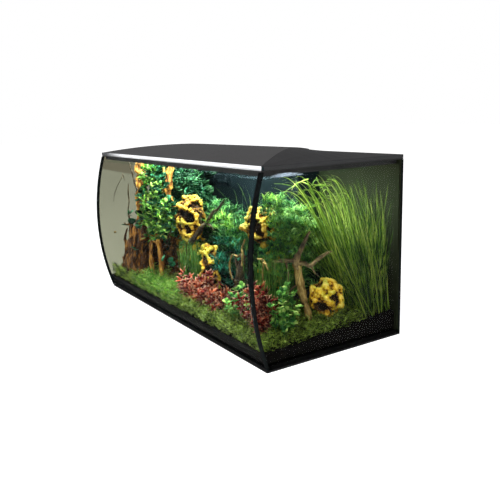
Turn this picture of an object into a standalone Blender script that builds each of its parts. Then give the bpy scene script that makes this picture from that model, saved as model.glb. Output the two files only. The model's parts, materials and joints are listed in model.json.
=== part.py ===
"""Glass aquarium with a bowed front, a low crowned hood and a rear filter.

Metres, +Z up, +X to the right, +Y to the back.  The origin is under the
middle of the tank, on the surface that it stands on.
"""
import math

import bmesh
import bpy
from mathutils import Matrix, Vector, noise

# ---- driving dimensions -------------------------------------------------
TANK_WIDTH = 0.820
TANK_DEPTH = 0.395
GLASS_TOP = 0.3885
GLASS = 0.006
FLOOR_GLASS = 0.008
MAT_HEIGHT = 0.003
GAP = 0.0003

# The front pane's outer face is one arc in side view.
ARC_FOOT_Y = -0.1641
ARC_HEAD_Y = -0.1666
ARC_HEIGHT = 0.392
ARC_SAG = 0.0322
ARC_STEPS = 18

SEAM_FACE = 0.012
SEAM_SIDE = 0.006
SEAM_REAR = 0.008
FILM = 0.0005

SOIL_FRONT = 0.038
SOIL_BACK = 0.056
SOIL_CHAMFER = 0.007
STAND_GAP = 0.0010

# Rear filter housing, from the left pane to FILTER_RIGHT.
FILTER_RIGHT = 0.140
FILTER_FRONT_Y = 0.124
FILTER_WALL = 0.003
FILTER_TOP = 0.374
FOAM_DIVIDER_X = 0.027
PUMP_DIVIDER_X = -0.153

PUMP_X = -0.330
PUMP_Y = 0.160
PUMP_Z = 0.047
PUMP_SIZE = (0.062, 0.046, 0.058)
CHAMBER_R = 0.0150
CHAMBER_DEPTH = 0.034
SHAFT_R = 0.0015

NOZZLE_X = (-0.275, -0.190)
NOZZLE_Y = 0.1190
NOZZLE_Z = 0.308
BALL_R = 0.0090
SOCKET_R = 0.0095

# Hood: rim frame, two wings and the crowned lid.
RIM_TOP = 0.3912
SKIRT_FOOT = 0.3800
HOOD_FLOOR = 0.3915
LIP_TOP = 0.3990
SHELL = 0.0028
CROWN_Y = 0.030
CROWN_TOP = 0.4185
LID_FRONT_Y = -0.1640
LID_FRONT_TOP = 0.3998
LID_REAR_Y = 0.1920
LID_REAR_TOP = 0.4030
LID_REAR_BOTTOM = 0.3974
LID_HALF_FRONT = 0.4093
LID_HALF_REAR = 0.1000
WING_START_Y = -0.1590
WING_STEP = 0.0035
LID_GAP = 0.0007
HINGE_Y = 0.1885
HINGE_Z = 0.3950
BARREL_R = 0.0034
BARREL_HALF = 0.1062
LUG_X = 0.1068
LUG_WIDTH = 0.016
LUG_TOP = 0.3969
PIN_REACH = 0.0120
PIN_R = 0.0012
BORE_R = 0.0015
LUG_Y = (0.1830, 0.1955)
RAIL_TOP = 0.3970
RAIL_Y = (TANK_DEPTH / 2 - 0.0034, TANK_DEPTH / 2 - 0.0006)
NOTCH_X = (0.290, 0.330)
NOTCH_Y = (TANK_DEPTH / 2 - 0.030, TANK_DEPTH / 2 + 0.010)
LID_EDGE = 0.0012
LID_LIP = 0.0035

LAMP_HALF = 0.255
LAMP_Y = -0.032
LAMP_DEPTH = 0.056
LAMP_TOP = 0.4105
LAMP_BOTTOM = 0.4000
LAMP_WALL = 0.0015
LAMP_HANGER = 0.012

BACK_Y = TANK_DEPTH / 2
HALF_W = TANK_WIDTH / 2
INNER_X = HALF_W - GLASS
INNER_BACK = BACK_Y - GLASS
WALL_FOOT = MAT_HEIGHT + GAP
FLOOR_TOP = WALL_FOOT + FLOOR_GLASS


# ---- small building tools -------------------------------------------------
def clear_scene():
    for obj in list(bpy.data.objects):
        bpy.data.objects.remove(obj, do_unlink=True)


def give_material(obj, color, roughness, metallic=0.0, alpha=1.0):
    """Give the object its own Principled material."""
    material = bpy.data.materials.new(obj.name + "_finish")
    material.use_nodes = True
    shader = material.node_tree.nodes["Principled BSDF"]
    shader.inputs["Base Color"].default_value = (*color, 1.0)
    shader.inputs["Roughness"].default_value = roughness
    shader.inputs["Metallic"].default_value = metallic
    shader.inputs["Alpha"].default_value = alpha
    obj.data.materials.append(material)
    return obj


def solid(name, points, faces, origin=(0, 0, 0), smooth_angle=None):
    """One closed solid from points in the shared frame, with its own origin."""
    origin = Vector(origin)
    mesh = bpy.data.meshes.new(name)
    mesh.from_pydata([Vector(p) - origin for p in points], [], faces)
    edit = bmesh.new()
    edit.from_mesh(mesh)
    bmesh.ops.remove_doubles(edit, verts=edit.verts, dist=1e-6)
    bmesh.ops.recalc_face_normals(edit, faces=edit.faces)
    edit.to_mesh(mesh)
    edit.free()
    obj = bpy.data.objects.new(name, mesh)
    obj.location = origin
    bpy.context.scene.collection.objects.link(obj)
    if smooth_angle is not None:
        mesh.shade_smooth()
        mesh.set_sharp_from_angle(angle=math.radians(smooth_angle))
    return obj


def loft(name, rings, closed=False, **kwargs):
    """Skin a row of equal rings; closed joins the last ring to the first."""
    count = len(rings[0])
    points = [p for ring in rings for p in ring]
    faces = []
    spans = len(rings) if closed else len(rings) - 1
    for i in range(spans):
        a = i * count
        b = ((i + 1) % len(rings)) * count
        for j in range(count):
            k = (j + 1) % count
            faces.append((a + j, a + k, b + k, b + j))
    if not closed:
        faces.append(tuple(range(count)))
        faces.append(tuple(range(len(points) - count, len(points))))
    return solid(name, points, faces, **kwargs)


def along_x(name, outline, x0, x1, **kwargs):
    """Extrude a (y, z) outline from x0 to x1."""
    rings = [[(x, y, z) for y, z in outline] for x in (x0, x1)]
    return loft(name, rings, **kwargs)


def box(name, low, high, bevel=0.0, **kwargs):
    """A box between two corners, with its edges bevelled when asked."""
    x0, y0, z0 = low
    x1, y1, z1 = high
    outline = [(y0, z0), (y1, z0), (y1, z1), (y0, z1)]
    obj = along_x(name, outline, x0, x1, **kwargs)
    if bevel:
        edit = bmesh.new()
        edit.from_mesh(obj.data)
        bmesh.ops.bevel(edit, geom=edit.edges[:], offset=bevel, segments=2,
                        affect="EDGES", profile=0.5)
        edit.to_mesh(obj.data)
        edit.free()
        obj.data.shade_smooth()
        obj.data.set_sharp_from_angle(angle=math.radians(35))
    return obj


def turned(name, profile, centre, axis, steps=24, **kwargs):
    """Turn a closed (radius, height) profile about an axis through centre."""
    turn = Vector((0, 0, 1)).rotation_difference(Vector(axis)).to_matrix()
    centre = Vector(centre)
    rings = []
    for i in range(steps):
        angle = 2 * math.pi * i / steps
        ring = [turn @ Vector((r * math.cos(angle), r * math.sin(angle), h)) + centre
                for r, h in profile]
        rings.append(ring)
    return loft(name, rings, closed=True, smooth_angle=35, **kwargs)


def rod(name, radius, centre, axis, h0, h1, steps=16, **kwargs):
    """A plain cylinder from h0 to h1 along the axis."""
    profile = [(0, h0), (radius, h0), (radius, h1), (0, h1)]
    return turned(name, profile, centre, axis, steps, **kwargs)


def branch(name, stations, sides=8, **kwargs):
    """A tapering limb through (x, y, z, radius) stations."""
    rings = []
    for i, (x, y, z, radius) in enumerate(stations):
        before = Vector(stations[max(i - 1, 0)][:3])
        after = Vector(stations[min(i + 1, len(stations) - 1)][:3])
        along = (after - before).normalized()
        side = along.cross(Vector((0, 1, 0))).normalized()
        up = side.cross(along)
        ring = []
        for k in range(sides):
            angle = 2 * math.pi * k / sides
            offset = side * math.cos(angle) + up * math.sin(angle)
            ring.append(Vector((x, y, z)) + offset * radius)
        rings.append(ring)
    return loft(name, rings, smooth_angle=60, **kwargs)


def combine(obj, tool, operation):
    """Apply a Boolean of obj with tool, and remove the tool."""
    modifier = obj.modifiers.new("combine", "BOOLEAN")
    modifier.operation = operation
    modifier.solver = "EXACT"
    modifier.object = tool
    tool.hide_render = True
    tool.display_type = "WIRE"
    graph = bpy.context.evaluated_depsgraph_get()
    mesh = bpy.data.meshes.new_from_object(obj.evaluated_get(graph))
    obj.modifiers.clear()
    obj.data = mesh
    bpy.data.objects.remove(tool, do_unlink=True)
    return obj


def cut(obj, *tools):
    for tool in tools:
        combine(obj, tool, "DIFFERENCE")
    return obj


def join(obj, *tools):
    for tool in tools:
        combine(obj, tool, "UNION")
    return obj


# ---- shared curves ----------------------------------------------------------
def front_arc(inset, z):
    """Y of the front pane's arc, moved inwards by inset, at height z."""
    chord = math.hypot(ARC_HEAD_Y - ARC_FOOT_Y, ARC_HEIGHT)
    radius = (chord ** 2 / 4 + ARC_SAG ** 2) / (2 * ARC_SAG)
    reach = radius - ARC_SAG
    centre_y = (ARC_FOOT_Y + ARC_HEAD_Y) / 2 + ARC_HEIGHT / chord * reach
    centre_z = ARC_HEIGHT / 2 + (ARC_HEAD_Y - ARC_FOOT_Y) / chord * -reach
    return centre_y - math.sqrt((radius - inset) ** 2 - (z - centre_z) ** 2)


def arc_heights(z0, z1, steps=ARC_STEPS):
    return [z0 + (z1 - z0) * i / steps for i in range(steps + 1)]


def soil_height(y):
    """Top of the soil: it rises from the front to the back."""
    t = min(max((y + 0.17) / 0.36, 0.0), 1.0)
    return SOIL_FRONT + (SOIL_BACK - SOIL_FRONT) * t ** 1.6


def crown_height(y):
    """Top of the lid, from front to back."""
    if y < CROWN_Y:
        t = (CROWN_Y - y) / (CROWN_Y - LID_FRONT_Y)
        return CROWN_TOP - (CROWN_TOP - LID_FRONT_TOP) * t ** 2
    t = (y - CROWN_Y) / (LID_REAR_Y - CROWN_Y)
    return CROWN_TOP - (CROWN_TOP - LID_REAR_TOP) * t ** 1.3


def lid_half_width(y):
    """Half the lid's width: it narrows in straight lines to the back."""
    t = (y - LID_FRONT_Y) / (LID_REAR_Y - LID_FRONT_Y)
    return LID_HALF_FRONT + (LID_HALF_REAR - LID_HALF_FRONT) * t


def wing_edge_height(y):
    """Top of a wing where it meets the lid: it drops below it at the back."""
    t = min(max((y - CROWN_Y) / (BACK_Y - CROWN_Y), 0.0), 1.0)
    return crown_height(min(y, LID_REAR_Y)) - 0.0004 - WING_STEP * t * t * (3 - 2 * t)


# ---- the glass box ------------------------------------------------------------
def make_mat_and_floor():
    foot = front_arc(0, 0.0) - 0.0005
    mat = box("base_mat", (-HALF_W, foot, 0), (HALF_W, BACK_Y, MAT_HEIGHT))
    give_material(mat, (0.012, 0.012, 0.013), 0.9)
    inset = GLASS + GAP
    outline = [(front_arc(inset, WALL_FOOT), WALL_FOOT),
               (INNER_BACK - GAP, WALL_FOOT),
               (INNER_BACK - GAP, FLOOR_TOP),
               (front_arc(inset, FLOOR_TOP), FLOOR_TOP)]
    floor = along_x("bottom_pane", outline, -INNER_X + GAP, INNER_X - GAP)
    give_material(floor, (0.55, 0.70, 0.66), 0.05, alpha=0.3)


def make_panes():
    heights = arc_heights(WALL_FOOT, GLASS_TOP)
    outer = [(front_arc(0, z), z) for z in heights]
    inner = [(front_arc(GLASS, z), z) for z in reversed(heights)]
    front = along_x("front_pane", outer + inner, -HALF_W, HALF_W, smooth_angle=20)
    give_material(front, (0.70, 0.80, 0.78), 0.03, alpha=0.2)
    edge = [(front_arc(GLASS + GAP, z), z) for z in heights]
    side = edge + [(INNER_BACK - GAP, GLASS_TOP), (INNER_BACK - GAP, WALL_FOOT)]
    for name, x0, x1 in (("left_pane", -HALF_W, -INNER_X),
                         ("right_pane", INNER_X, HALF_W)):
        pane = along_x(name, side, x0, x1, smooth_angle=20)
        give_material(pane, (0.70, 0.80, 0.78), 0.03, alpha=0.2)
    back = box("back_pane", (-HALF_W, INNER_BACK, WALL_FOOT), (HALF_W, BACK_Y, GLASS_TOP))
    give_material(back, (0.60, 0.72, 0.70), 0.03, alpha=0.2)


def make_seams():
    """Black silicone in the four upright corners and round the floor."""
    low = FLOOR_TOP + GAP
    high = SKIRT_FOOT - 0.0005
    for side, name in ((-1, "left"), (1, "right")):
        wall = INNER_X - GAP
        rings = []
        for z in arc_heights(low, high):
            y = front_arc(GLASS + GAP, z)
            plan = [(wall, y + 0.0004), (wall - SEAM_FACE, y), (wall - SEAM_FACE, y + 0.0012),
                    (wall - 0.004, y + 0.0035), (wall, y + SEAM_SIDE)]
            rings.append([(side * px, py, z) for px, py in plan])
        seam = loft("seam_front_" + name, rings, smooth_angle=30)
        give_material(seam, (0.01, 0.01, 0.011), 0.45)
        y = INNER_BACK - GAP
        plan = [(wall, y), (wall - SEAM_REAR, y), (wall - 0.003, y - 0.003),
                (wall, y - SEAM_REAR)]
        rings = [[(side * px, py, z) for px, py in plan] for z in (low, high)]
        seam = loft("seam_back_" + name, rings)
        give_material(seam, (0.01, 0.01, 0.011), 0.45)
    leg = 0.004
    x = INNER_X - 0.0085
    y0 = front_arc(GLASS, low) + 0.0068
    y1 = INNER_BACK - 0.0085
    rings = []
    for sx, sy in ((-1, -1), (1, -1), (1, 1), (-1, 1)):
        edge_y = y0 if sy < 0 else y1
        ring = [(sx * x, edge_y, low), (sx * (x - leg), edge_y - sy * leg, low),
                (sx * (x - 0.0005), edge_y, low + leg)]
        rings.append(ring)
    seal = loft("floor_seal", rings, closed=True)
    give_material(seal, (0.01, 0.01, 0.011), 0.45)


def make_back_film():
    """Black film inside the back pane, behind the corner that the filter leaves open."""
    low = (FILTER_RIGHT + GAP, INNER_BACK - GAP - FILM, FLOOR_TOP + 0.0005)
    high = (INNER_X - SEAM_REAR - 2 * GAP, INNER_BACK - GAP, SKIRT_FOOT - 0.0005)
    film = box("back_film", low, high)
    give_material(film, (0.006, 0.007, 0.010), 0.6)


# ---- soil, wood, stones and plants ---------------------------------------------
def make_soil():
    """A sloping bed that fills the floor round the filter housing."""
    low = FLOOR_TOP + 0.0048
    edge = low + SOIL_CHAMFER
    housing_side = FILTER_RIGHT + 0.0008
    rings = []
    for x, back in ((-INNER_X + 0.0005, FILTER_FRONT_Y - 0.0006),
                    (housing_side, FILTER_FRONT_Y - 0.0006),
                    (housing_side + 0.0002, INNER_BACK - 0.0012),
                    (INNER_X - 0.0005, INNER_BACK - 0.0012)):
        front = front_arc(GLASS + 0.0005, SOIL_FRONT)
        profile = [(front_arc(GLASS + 0.0012, low) + 0.002, low), (back, low)]
        for i in range(9):
            y = back + (front - back) * i / 8
            profile.append((y, soil_height(y)))
        profile.append((front_arc(GLASS + 0.0008, edge), edge))
        rings.append([(x, y, z) for y, z in profile])
    soil = loft("substrate_bed", rings, smooth_angle=30)
    keep = box("keep", (-INNER_X + 0.009, -0.3, 0.0), (INNER_X - 0.009, 0.3, edge))
    rest = box("rest", (-0.5, -0.3, edge - 0.0001), (0.5, 0.3, 0.2))
    combine(soil, join(keep, rest), "INTERSECT")
    corner = 0.014
    for side in (-1, 1):
        for y in (front_arc(GLASS, SOIL_FRONT), INNER_BACK):
            tool = rod("corner", corner, (side * INNER_X, y, 0), (0, 0, 1), 0, 0.2, 12)
            cut(soil, tool)
    give_material(soil, (0.020, 0.017, 0.014), 0.95)


def make_driftwood():
    """Two pieces of bog wood that stand on the soil."""
    ground = soil_height(-0.080) + STAND_GAP
    trunk = branch("driftwood_left", [
        (-0.285, -0.108, ground, 0.026), (-0.285, -0.108, 0.080, 0.024),
        (-0.290, -0.105, 0.150, 0.020), (-0.296, -0.098, 0.230, 0.015),
        (-0.290, -0.095, 0.300, 0.011), (-0.294, -0.092, 0.368, 0.009)])
    root = branch("root", [
        (-0.330, -0.118, ground, 0.011), (-0.326, -0.118, 0.070, 0.010),
        (-0.310, -0.114, 0.110, 0.010), (-0.293, -0.108, 0.150, 0.009)])
    stub = branch("stub", [
        (-0.296, -0.098, 0.215, 0.010), (-0.280, -0.090, 0.245, 0.008),
        (-0.262, -0.080, 0.285, 0.006), (-0.252, -0.070, 0.325, 0.004)])
    give_material(join(trunk, root, stub), (0.24, 0.12, 0.05), 0.8)
    ground = soil_height(0.024) + STAND_GAP
    fork = branch("driftwood_fork", [
        (0.322, 0.012, ground, 0.010), (0.320, 0.010, 0.075, 0.009),
        (0.315, -0.001, 0.130, 0.008), (0.308, -0.012, 0.178, 0.008),
        (0.304, 0.004, 0.202, 0.005), (0.300, 0.020, 0.224, 0.003)])
    left_arm = branch("left_arm", [
        (0.306, -0.014, 0.172, 0.006), (0.300, -0.034, 0.182, 0.005),
        (0.294, -0.052, 0.182, 0.004), (0.292, -0.060, 0.166, 0.003)])
    right_arm = branch("right_arm", [
        (0.306, -0.010, 0.172, 0.005), (0.306, 0.022, 0.166, 0.004),
        (0.302, 0.052, 0.172, 0.0035), (0.298, 0.082, 0.186, 0.0025)])
    give_material(join(fork, left_arm, right_arm), (0.42, 0.24, 0.10), 0.75)


def make_stone(name, centre, half, seed, foot):
    """A weathered stone, flat underneath, that stands on the soil."""
    edit = bmesh.new()
    bmesh.ops.create_icosphere(edit, subdivisions=3, radius=1.0)
    for vert in edit.verts:
        push = noise.noise(vert.co * 1.7 + Vector((seed, 0, 0))) * 0.30
        vert.co *= 0.88 + push
        place = Vector(centre) + Vector(h * c for h, c in zip(half, vert.co))
        place.z = max(place.z, foot)
        vert.co = place
    points = [v.co.copy() for v in edit.verts]
    faces = [[v.index for v in f.verts] for f in edit.faces]
    edit.free()
    stone = solid(name, points, faces, smooth_angle=50)
    keep = box("keep", (-1, -1, foot + 0.0001), (1, 1, 1))
    combine(stone, keep, "INTERSECT")
    give_material(stone, (0.50, 0.32, 0.07), 0.85)


def make_stones():
    for name, centre, half, seed in (
            ("rock_left", (-0.103, -0.047, 0.146), (0.055, 0.038, 0.142), 1.0),
            ("rock_mid", (0.000, -0.060, 0.100), (0.036, 0.026, 0.095), 4.0),
            ("rock_right", (0.222, -0.034, 0.148), (0.044, 0.034, 0.142), 7.0),
            ("rock_arch", (0.328, 0.054, 0.090), (0.036, 0.038, 0.048), 9.0)):
        foot = soil_height(centre[1] + half[1]) + STAND_GAP
        make_stone(name, centre, half, seed, foot)


def make_plant(name, centre, half, top, color, lean=0.0):
    """A plain closed clump that stands on the soil; lean moves its top to the front."""
    x, y = centre
    rx, ry = half
    foot = soil_height(y + ry) + STAND_GAP
    rings = []
    for t, swell in ((0.0, 0.55), (0.3, 0.9), (0.7, 1.0), (0.92, 0.8), (1.0, 0.4)):
        ring = []
        for k in range(10):
            angle = 2 * math.pi * k / 10
            ring.append((x + rx * swell * math.cos(angle),
                         y - lean * t + ry * swell * math.sin(angle),
                         foot + (top - foot) * t))
        rings.append(ring)
    give_material(loft(name, rings, smooth_angle=50), color, 0.8)


def make_plants():
    make_plant("fern_left", (-0.205, -0.112), (0.034, 0.028), 0.235, (0.03, 0.12, 0.02))
    make_plant("stems_back", (-0.170, 0.060), (0.090, 0.045), 0.260, (0.04, 0.20, 0.04))
    make_plant("red_stems_left", (0.020, -0.122), (0.046, 0.026), 0.125, (0.35, 0.06, 0.05))
    make_plant("red_stems_right", (0.125, -0.122), (0.046, 0.026), 0.135, (0.35, 0.06, 0.05))
    make_plant("round_leaf_front", (0.250, -0.122), (0.046, 0.028), 0.140, (0.10, 0.25, 0.04))
    make_plant("moss_mass", (0.085, 0.020), (0.048, 0.056), 0.320, (0.03, 0.25, 0.08))
    make_plant("stems_right", (0.345, -0.070), (0.036, 0.042), 0.330, (0.05, 0.25, 0.05))
    make_plant("grass_back", (0.340, 0.152), (0.052, 0.028), 0.368, (0.10, 0.28, 0.06), lean=0.060)


# ---- filter -------------------------------------------------------------------
def make_filter_housing():
    """An L-shaped wall with intake combs and two return holes, and two dividers."""
    low = FLOOR_TOP + 0.0046
    x0 = -INNER_X + 0.0006
    y0 = FILTER_FRONT_Y
    y1 = y0 + FILTER_WALL
    x1 = FILTER_RIGHT - FILTER_WALL
    back = INNER_BACK - 0.0002 - GAP
    plan = [(x0, y0), (FILTER_RIGHT, y0), (FILTER_RIGHT, back), (x1, back), (x1, y1), (x0, y1)]
    rings = [[(x, y, z) for x, y in plan] for z in (low, FILTER_TOP)]
    wall = loft("filter_partition", rings)
    for i in range(10):
        x = 0.043 + i * 0.0090
        cut(wall, box("slot", (x, y0 - 0.01, 0.335), (x + 0.0045, y1 + 0.01, 0.368)))
        cut(wall, box("slot", (x, y0 - 0.01, 0.070), (x + 0.0045, y1 + 0.01, 0.120)))
    for x in NOZZLE_X:
        cut(wall, rod("hole", 0.0128, (x, y0, NOZZLE_Z), (0, 1, 0), -0.01, 0.01, 24))
    give_material(wall, (0.008, 0.009, 0.012), 0.5)
    inside = (y1 + GAP, back - GAP)
    foam_wall = box("divider_foam", (FOAM_DIVIDER_X, inside[0], 0.045),
                    (FOAM_DIVIDER_X + FILTER_WALL, inside[1], FILTER_TOP))
    give_material(foam_wall, (0.010, 0.010, 0.012), 0.5)
    weir = box("divider_pump", (PUMP_DIVIDER_X, inside[0], low),
               (PUMP_DIVIDER_X + FILTER_WALL, inside[1], 0.318))
    give_material(weir, (0.010, 0.010, 0.012), 0.5)


def make_foam():
    low = FLOOR_TOP + 0.0050
    foam = box("foam_block", (0.0340, 0.1310, low), (0.1330, 0.1870, 0.290), bevel=0.002)
    give_material(foam, (0.015, 0.015, 0.016), 1.0)
    outline = [(0.048, 0.2904), (0.060, 0.2904), (0.066, 0.330), (0.101, 0.330),
               (0.107, 0.2904), (0.119, 0.2904), (0.119, 0.2930), (0.1095, 0.2930),
               (0.1035, 0.336), (0.0635, 0.336), (0.0575, 0.2930), (0.048, 0.2930)]
    rings = [[(x, y, z) for x, z in outline] for y in (0.151, 0.167)]
    handle = loft("foam_handle", rings)
    give_material(handle, (0.02, 0.02, 0.022), 0.45)


def make_media_basket():
    low = FLOOR_TOP + 0.0050
    wall = 0.002
    x0, x1, y0, y1, top = -0.1450, 0.0220, 0.1310, 0.1870, 0.300
    basket = box("media_basket", (x0, y0, low), (x1, y1, top))
    cut(basket, box("inside", (x0 + wall, y0 + wall, low + wall),
                    (x1 - wall, y1 - wall, top + 0.01)))
    for i in range(9):
        x = x0 + 0.012 + i * 0.0165
        cut(basket, box("slot", (x, y0 + 0.008, low - 0.01), (x + 0.008, y1 - 0.008, low + 0.01)))
    give_material(basket, (0.02, 0.02, 0.022), 0.4)
    inner = (x0 + wall + 0.002, y0 + wall + 0.002, x1 - wall - 0.002, y1 - wall - 0.002)
    pouch = box("carbon_pouch", (inner[0], inner[1], low + wall + GAP),
                (inner[2], inner[3], 0.090), bevel=0.008)
    give_material(pouch, (0.03, 0.03, 0.03), 0.9)
    media = box("bio_media", (inner[0], inner[1], 0.0906), (inner[2], inner[3], 0.200),
                bevel=0.008)
    give_material(media, (0.62, 0.52, 0.42), 0.9)


def make_pump():
    sx, sy, sz = PUMP_SIZE
    low = (PUMP_X - sx / 2, PUMP_Y - sy / 2, PUMP_Z - sz / 2)
    high = (PUMP_X + sx / 2, PUMP_Y + sy / 2, PUMP_Z + sz / 2)
    body = box("pump_body", low, high, bevel=0.004)
    axis_x = (1, 0, 0)
    face = (low[0], PUMP_Y, PUMP_Z)
    cut(body, rod("chamber", CHAMBER_R, face, axis_x, -0.01, CHAMBER_DEPTH, 28))
    top = (low[0] + 0.016, PUMP_Y, PUMP_Z)
    cut(body, rod("outlet", 0.0062, top, (0, 0, 1), 0.0, 0.05, 20))
    cut(body, rod("shaft_seat", SHAFT_R + 0.0003, face, axis_x, CHAMBER_DEPTH - 0.001,
                  CHAMBER_DEPTH + 0.006, 12))
    give_material(body, (0.012, 0.012, 0.014), 0.4)
    cover_profile = [(0.0035, -0.0030), (0.0175, -0.0030), (0.0175, -GAP), (0.0035, -GAP)]
    cover = turned("pump_cover", cover_profile, face, axis_x, 28)
    for k in range(6):
        angle = math.pi / 3 * k
        y = PUMP_Y + 0.0095 * math.cos(angle)
        z = PUMP_Z + 0.0095 * math.sin(angle)
        cut(cover, rod("vent", 0.0028, (low[0], y, z), axis_x, -0.01, 0.01, 10))
    give_material(cover, (0.02, 0.02, 0.022), 0.4)
    shaft = rod("impeller_shaft", SHAFT_R, face, axis_x, 0.0012, CHAMBER_DEPTH + 0.004, 12)
    give_material(shaft, (0.85, 0.84, 0.80), 0.25)
    centre = (low[0] + 0.018, PUMP_Y, PUMP_Z)
    bore = SHAFT_R + 0.0003
    magnet = turned("impeller", [(bore, -0.004), (0.0075, -0.004), (0.0075, 0.013), (bore, 0.013)],
                    centre, axis_x, 24, origin=centre)
    for k in range(6):
        blade = box("blade", (-0.0145, 0.0030, -0.0007), (-0.0036, 0.0120, 0.0007))
        turn = Matrix.Rotation(math.pi / 3 * k, 4, "X")
        blade.data.transform(Matrix.Translation(centre) @ turn)
        join(magnet, blade)
    hub = turned("hub", [(bore, -0.0145), (0.0042, -0.0145), (0.0042, -0.0030), (bore, -0.0030)],
                 centre, axis_x, 24)
    join(magnet, hub)
    give_material(magnet, (0.10, 0.10, 0.11), 0.4)


def make_return_line():
    """Riser, manifold behind the partition, and two sockets through it."""
    rx = PUMP_X - PUMP_SIZE[0] / 2 + 0.016
    foot = PUMP_Z + PUMP_SIZE[2] / 2 + GAP
    bar_low = NOZZLE_Z - 0.012
    tube = [(0.0062, 0), (0.0082, 0), (0.0082, bar_low - GAP - foot),
            (0.0062, bar_low - GAP - foot)]
    riser = turned("return_pipe", tube, (rx, PUMP_Y, foot), (0, 0, 1), 20)
    give_material(riser, (0.02, 0.02, 0.022), 0.35)
    y0 = FILTER_FRONT_Y + FILTER_WALL + 0.0060
    x1 = NOZZLE_X[1] + 0.016
    bar = box("outlet_manifold", (rx - 0.012, y0, bar_low), (x1, y0 + 0.036, bar_low + 0.024))
    wall = 0.002
    cut(bar, box("inside", (rx - 0.012 + wall, y0 + wall, bar_low + wall),
                 (x1 - wall, y0 + 0.036 - wall, bar_low + 0.024 - wall)))
    cut(bar, rod("inlet", 0.0062, (rx, PUMP_Y, bar_low), (0, 0, 1), -0.01, 0.01, 20))
    for x in NOZZLE_X:
        cut(bar, rod("outlet", 0.0070, (x, y0, NOZZLE_Z), (0, 1, 0), -0.01, 0.01, 20))
    give_material(bar, (0.012, 0.012, 0.014), 0.4)
    for name, x in zip(("left", "right"), NOZZLE_X):
        centre = (x, NOZZLE_Y, NOZZLE_Z)
        reach = y0 - GAP - NOZZLE_Y
        collar = FILTER_FRONT_Y - GAP - NOZZLE_Y
        profile = [(SOCKET_R, -0.0025), (0.0145, -0.0015), (0.0160, collar - 0.001),
                   (0.0160, collar), (0.0124, collar), (0.0124, reach), (0.0070, reach),
                   (0.0070, reach - 0.002), (SOCKET_R + 0.0004, reach - 0.0035)]
        socket = turned("nozzle_socket_" + name, profile, centre, (0, 1, 0), 24)
        give_material(socket, (0.010, 0.010, 0.012), 0.35)
        ball = turned("nozzle_ball_" + name, ball_profile(0.0045), centre, (0, 1, 0), 24,
                      origin=centre)
        give_material(ball, (0.015, 0.015, 0.017), 0.3)
        tip = turned("nozzle_tip_" + name,
                     [(0.0045, -0.0094), (0.0068, -0.0094), (0.0060, -0.0200),
                      (0.0078, -0.0330), (0.0060, -0.0330), (0.0042, -0.0200)],
                     centre, (0, 1, 0), 20, origin=centre)
        give_material(tip, (0.015, 0.015, 0.017), 0.3)


def ball_profile(bore):
    """A sphere with a bore through it, as (radius, height)."""
    start = math.asin(bore / BALL_R)
    points = []
    for i in range(9):
        angle = start + (math.pi - 2 * start) * i / 8
        points.append((BALL_R * math.sin(angle), -BALL_R * math.cos(angle)))
    return points


# ---- hood ----------------------------------------------------------------------
def make_rim_frame():
    """A frame on the glass edge, with a skirt that drops inside the panes."""
    under = GLASS_TOP + GAP
    flange = 0.018
    skirt_out = 0.0080
    skirt_in = 0.0100
    profile = [(0.0, under), (0.0, RIM_TOP), (flange, RIM_TOP), (flange, under),
               (skirt_in, under), (skirt_in, SKIRT_FOOT), (skirt_out, SKIRT_FOOT),
               (skirt_out, under)]
    x = HALF_W - 0.0005
    y0 = -0.1660
    y1 = BACK_Y - 0.0003
    rings = []
    for sx, sy in ((-1, -1), (1, -1), (1, 1), (-1, 1)):
        edge = y0 if sy < 0 else y1
        rings.append([(sx * (x - inset), edge - sy * inset, z) for inset, z in profile])
    rim = loft("rim_frame", rings, closed=True)
    notch = box("notch", (NOTCH_X[0], NOTCH_Y[0], 0.30), (NOTCH_X[1], NOTCH_Y[1], 0.42))
    cut(rim, notch)
    give_material(rim, (0.012, 0.012, 0.013), 0.5)


def make_wings():
    """The two falling shoulders beside the lid, with the hinge blocks."""
    stations = 12
    for side, name in ((-1, "left"), (1, "right")):
        rings = []
        for i in range(stations + 1):
            y = WING_START_Y + (BACK_Y - 0.0005 - WING_START_Y) * i / stations
            inner = max(lid_half_width(y) + LID_GAP, LUG_X)
            rise = wing_edge_height(y)
            outer = HALF_W - 0.0002
            wall = min(0.0030, (outer - inner) * 0.4)
            mid = (outer + inner) / 2
            swell = LIP_TOP + (rise - LIP_TOP) * 0.56
            outline = [(outer, HOOD_FLOOR), (outer, LIP_TOP - 0.0008), (outer - 0.0008, LIP_TOP),
                       (mid, swell), (inner, rise), (inner, rise - SHELL),
                       (mid, swell - SHELL), (outer - wall, LIP_TOP - SHELL),
                       (outer - wall, HOOD_FLOOR)]
            rings.append([(side * px, y, z) for px, z in outline])
        wing = loft("wing_" + name, rings, smooth_angle=25)
        lug_x = sorted((side * LUG_X, side * (LUG_X + LUG_WIDTH)))
        lug = box("lug", (lug_x[0], LUG_Y[0], HOOD_FLOOR), (lug_x[1], LUG_Y[1], LUG_TOP))
        join(wing, lug)
        if side < 0:
            join(wing, box("rail", (-HALF_W + 0.001, RAIL_Y[0], HOOD_FLOOR),
                           (-LUG_X - 0.004, RAIL_Y[1], RAIL_TOP)))
        centre = (0, HINGE_Y, HINGE_Z)
        x0, x1 = sorted((side * (LUG_X - 0.005), side * (LUG_X + PIN_REACH + GAP)))
        cut(wing, rod("bore", BORE_R, centre, (1, 0, 0), x0, x1, 12))
        give_material(wing, (0.055, 0.055, 0.060), 0.55)
        x0, x1 = sorted((side * (BARREL_HALF - PIN_REACH), side * (LUG_X + PIN_REACH)))
        pin = rod("hinge_pin_" + name, PIN_R, centre, (1, 0, 0), x0, x1, 12, origin=centre)
        give_material(pin, (0.60, 0.60, 0.62), 0.3, 1.0)


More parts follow.
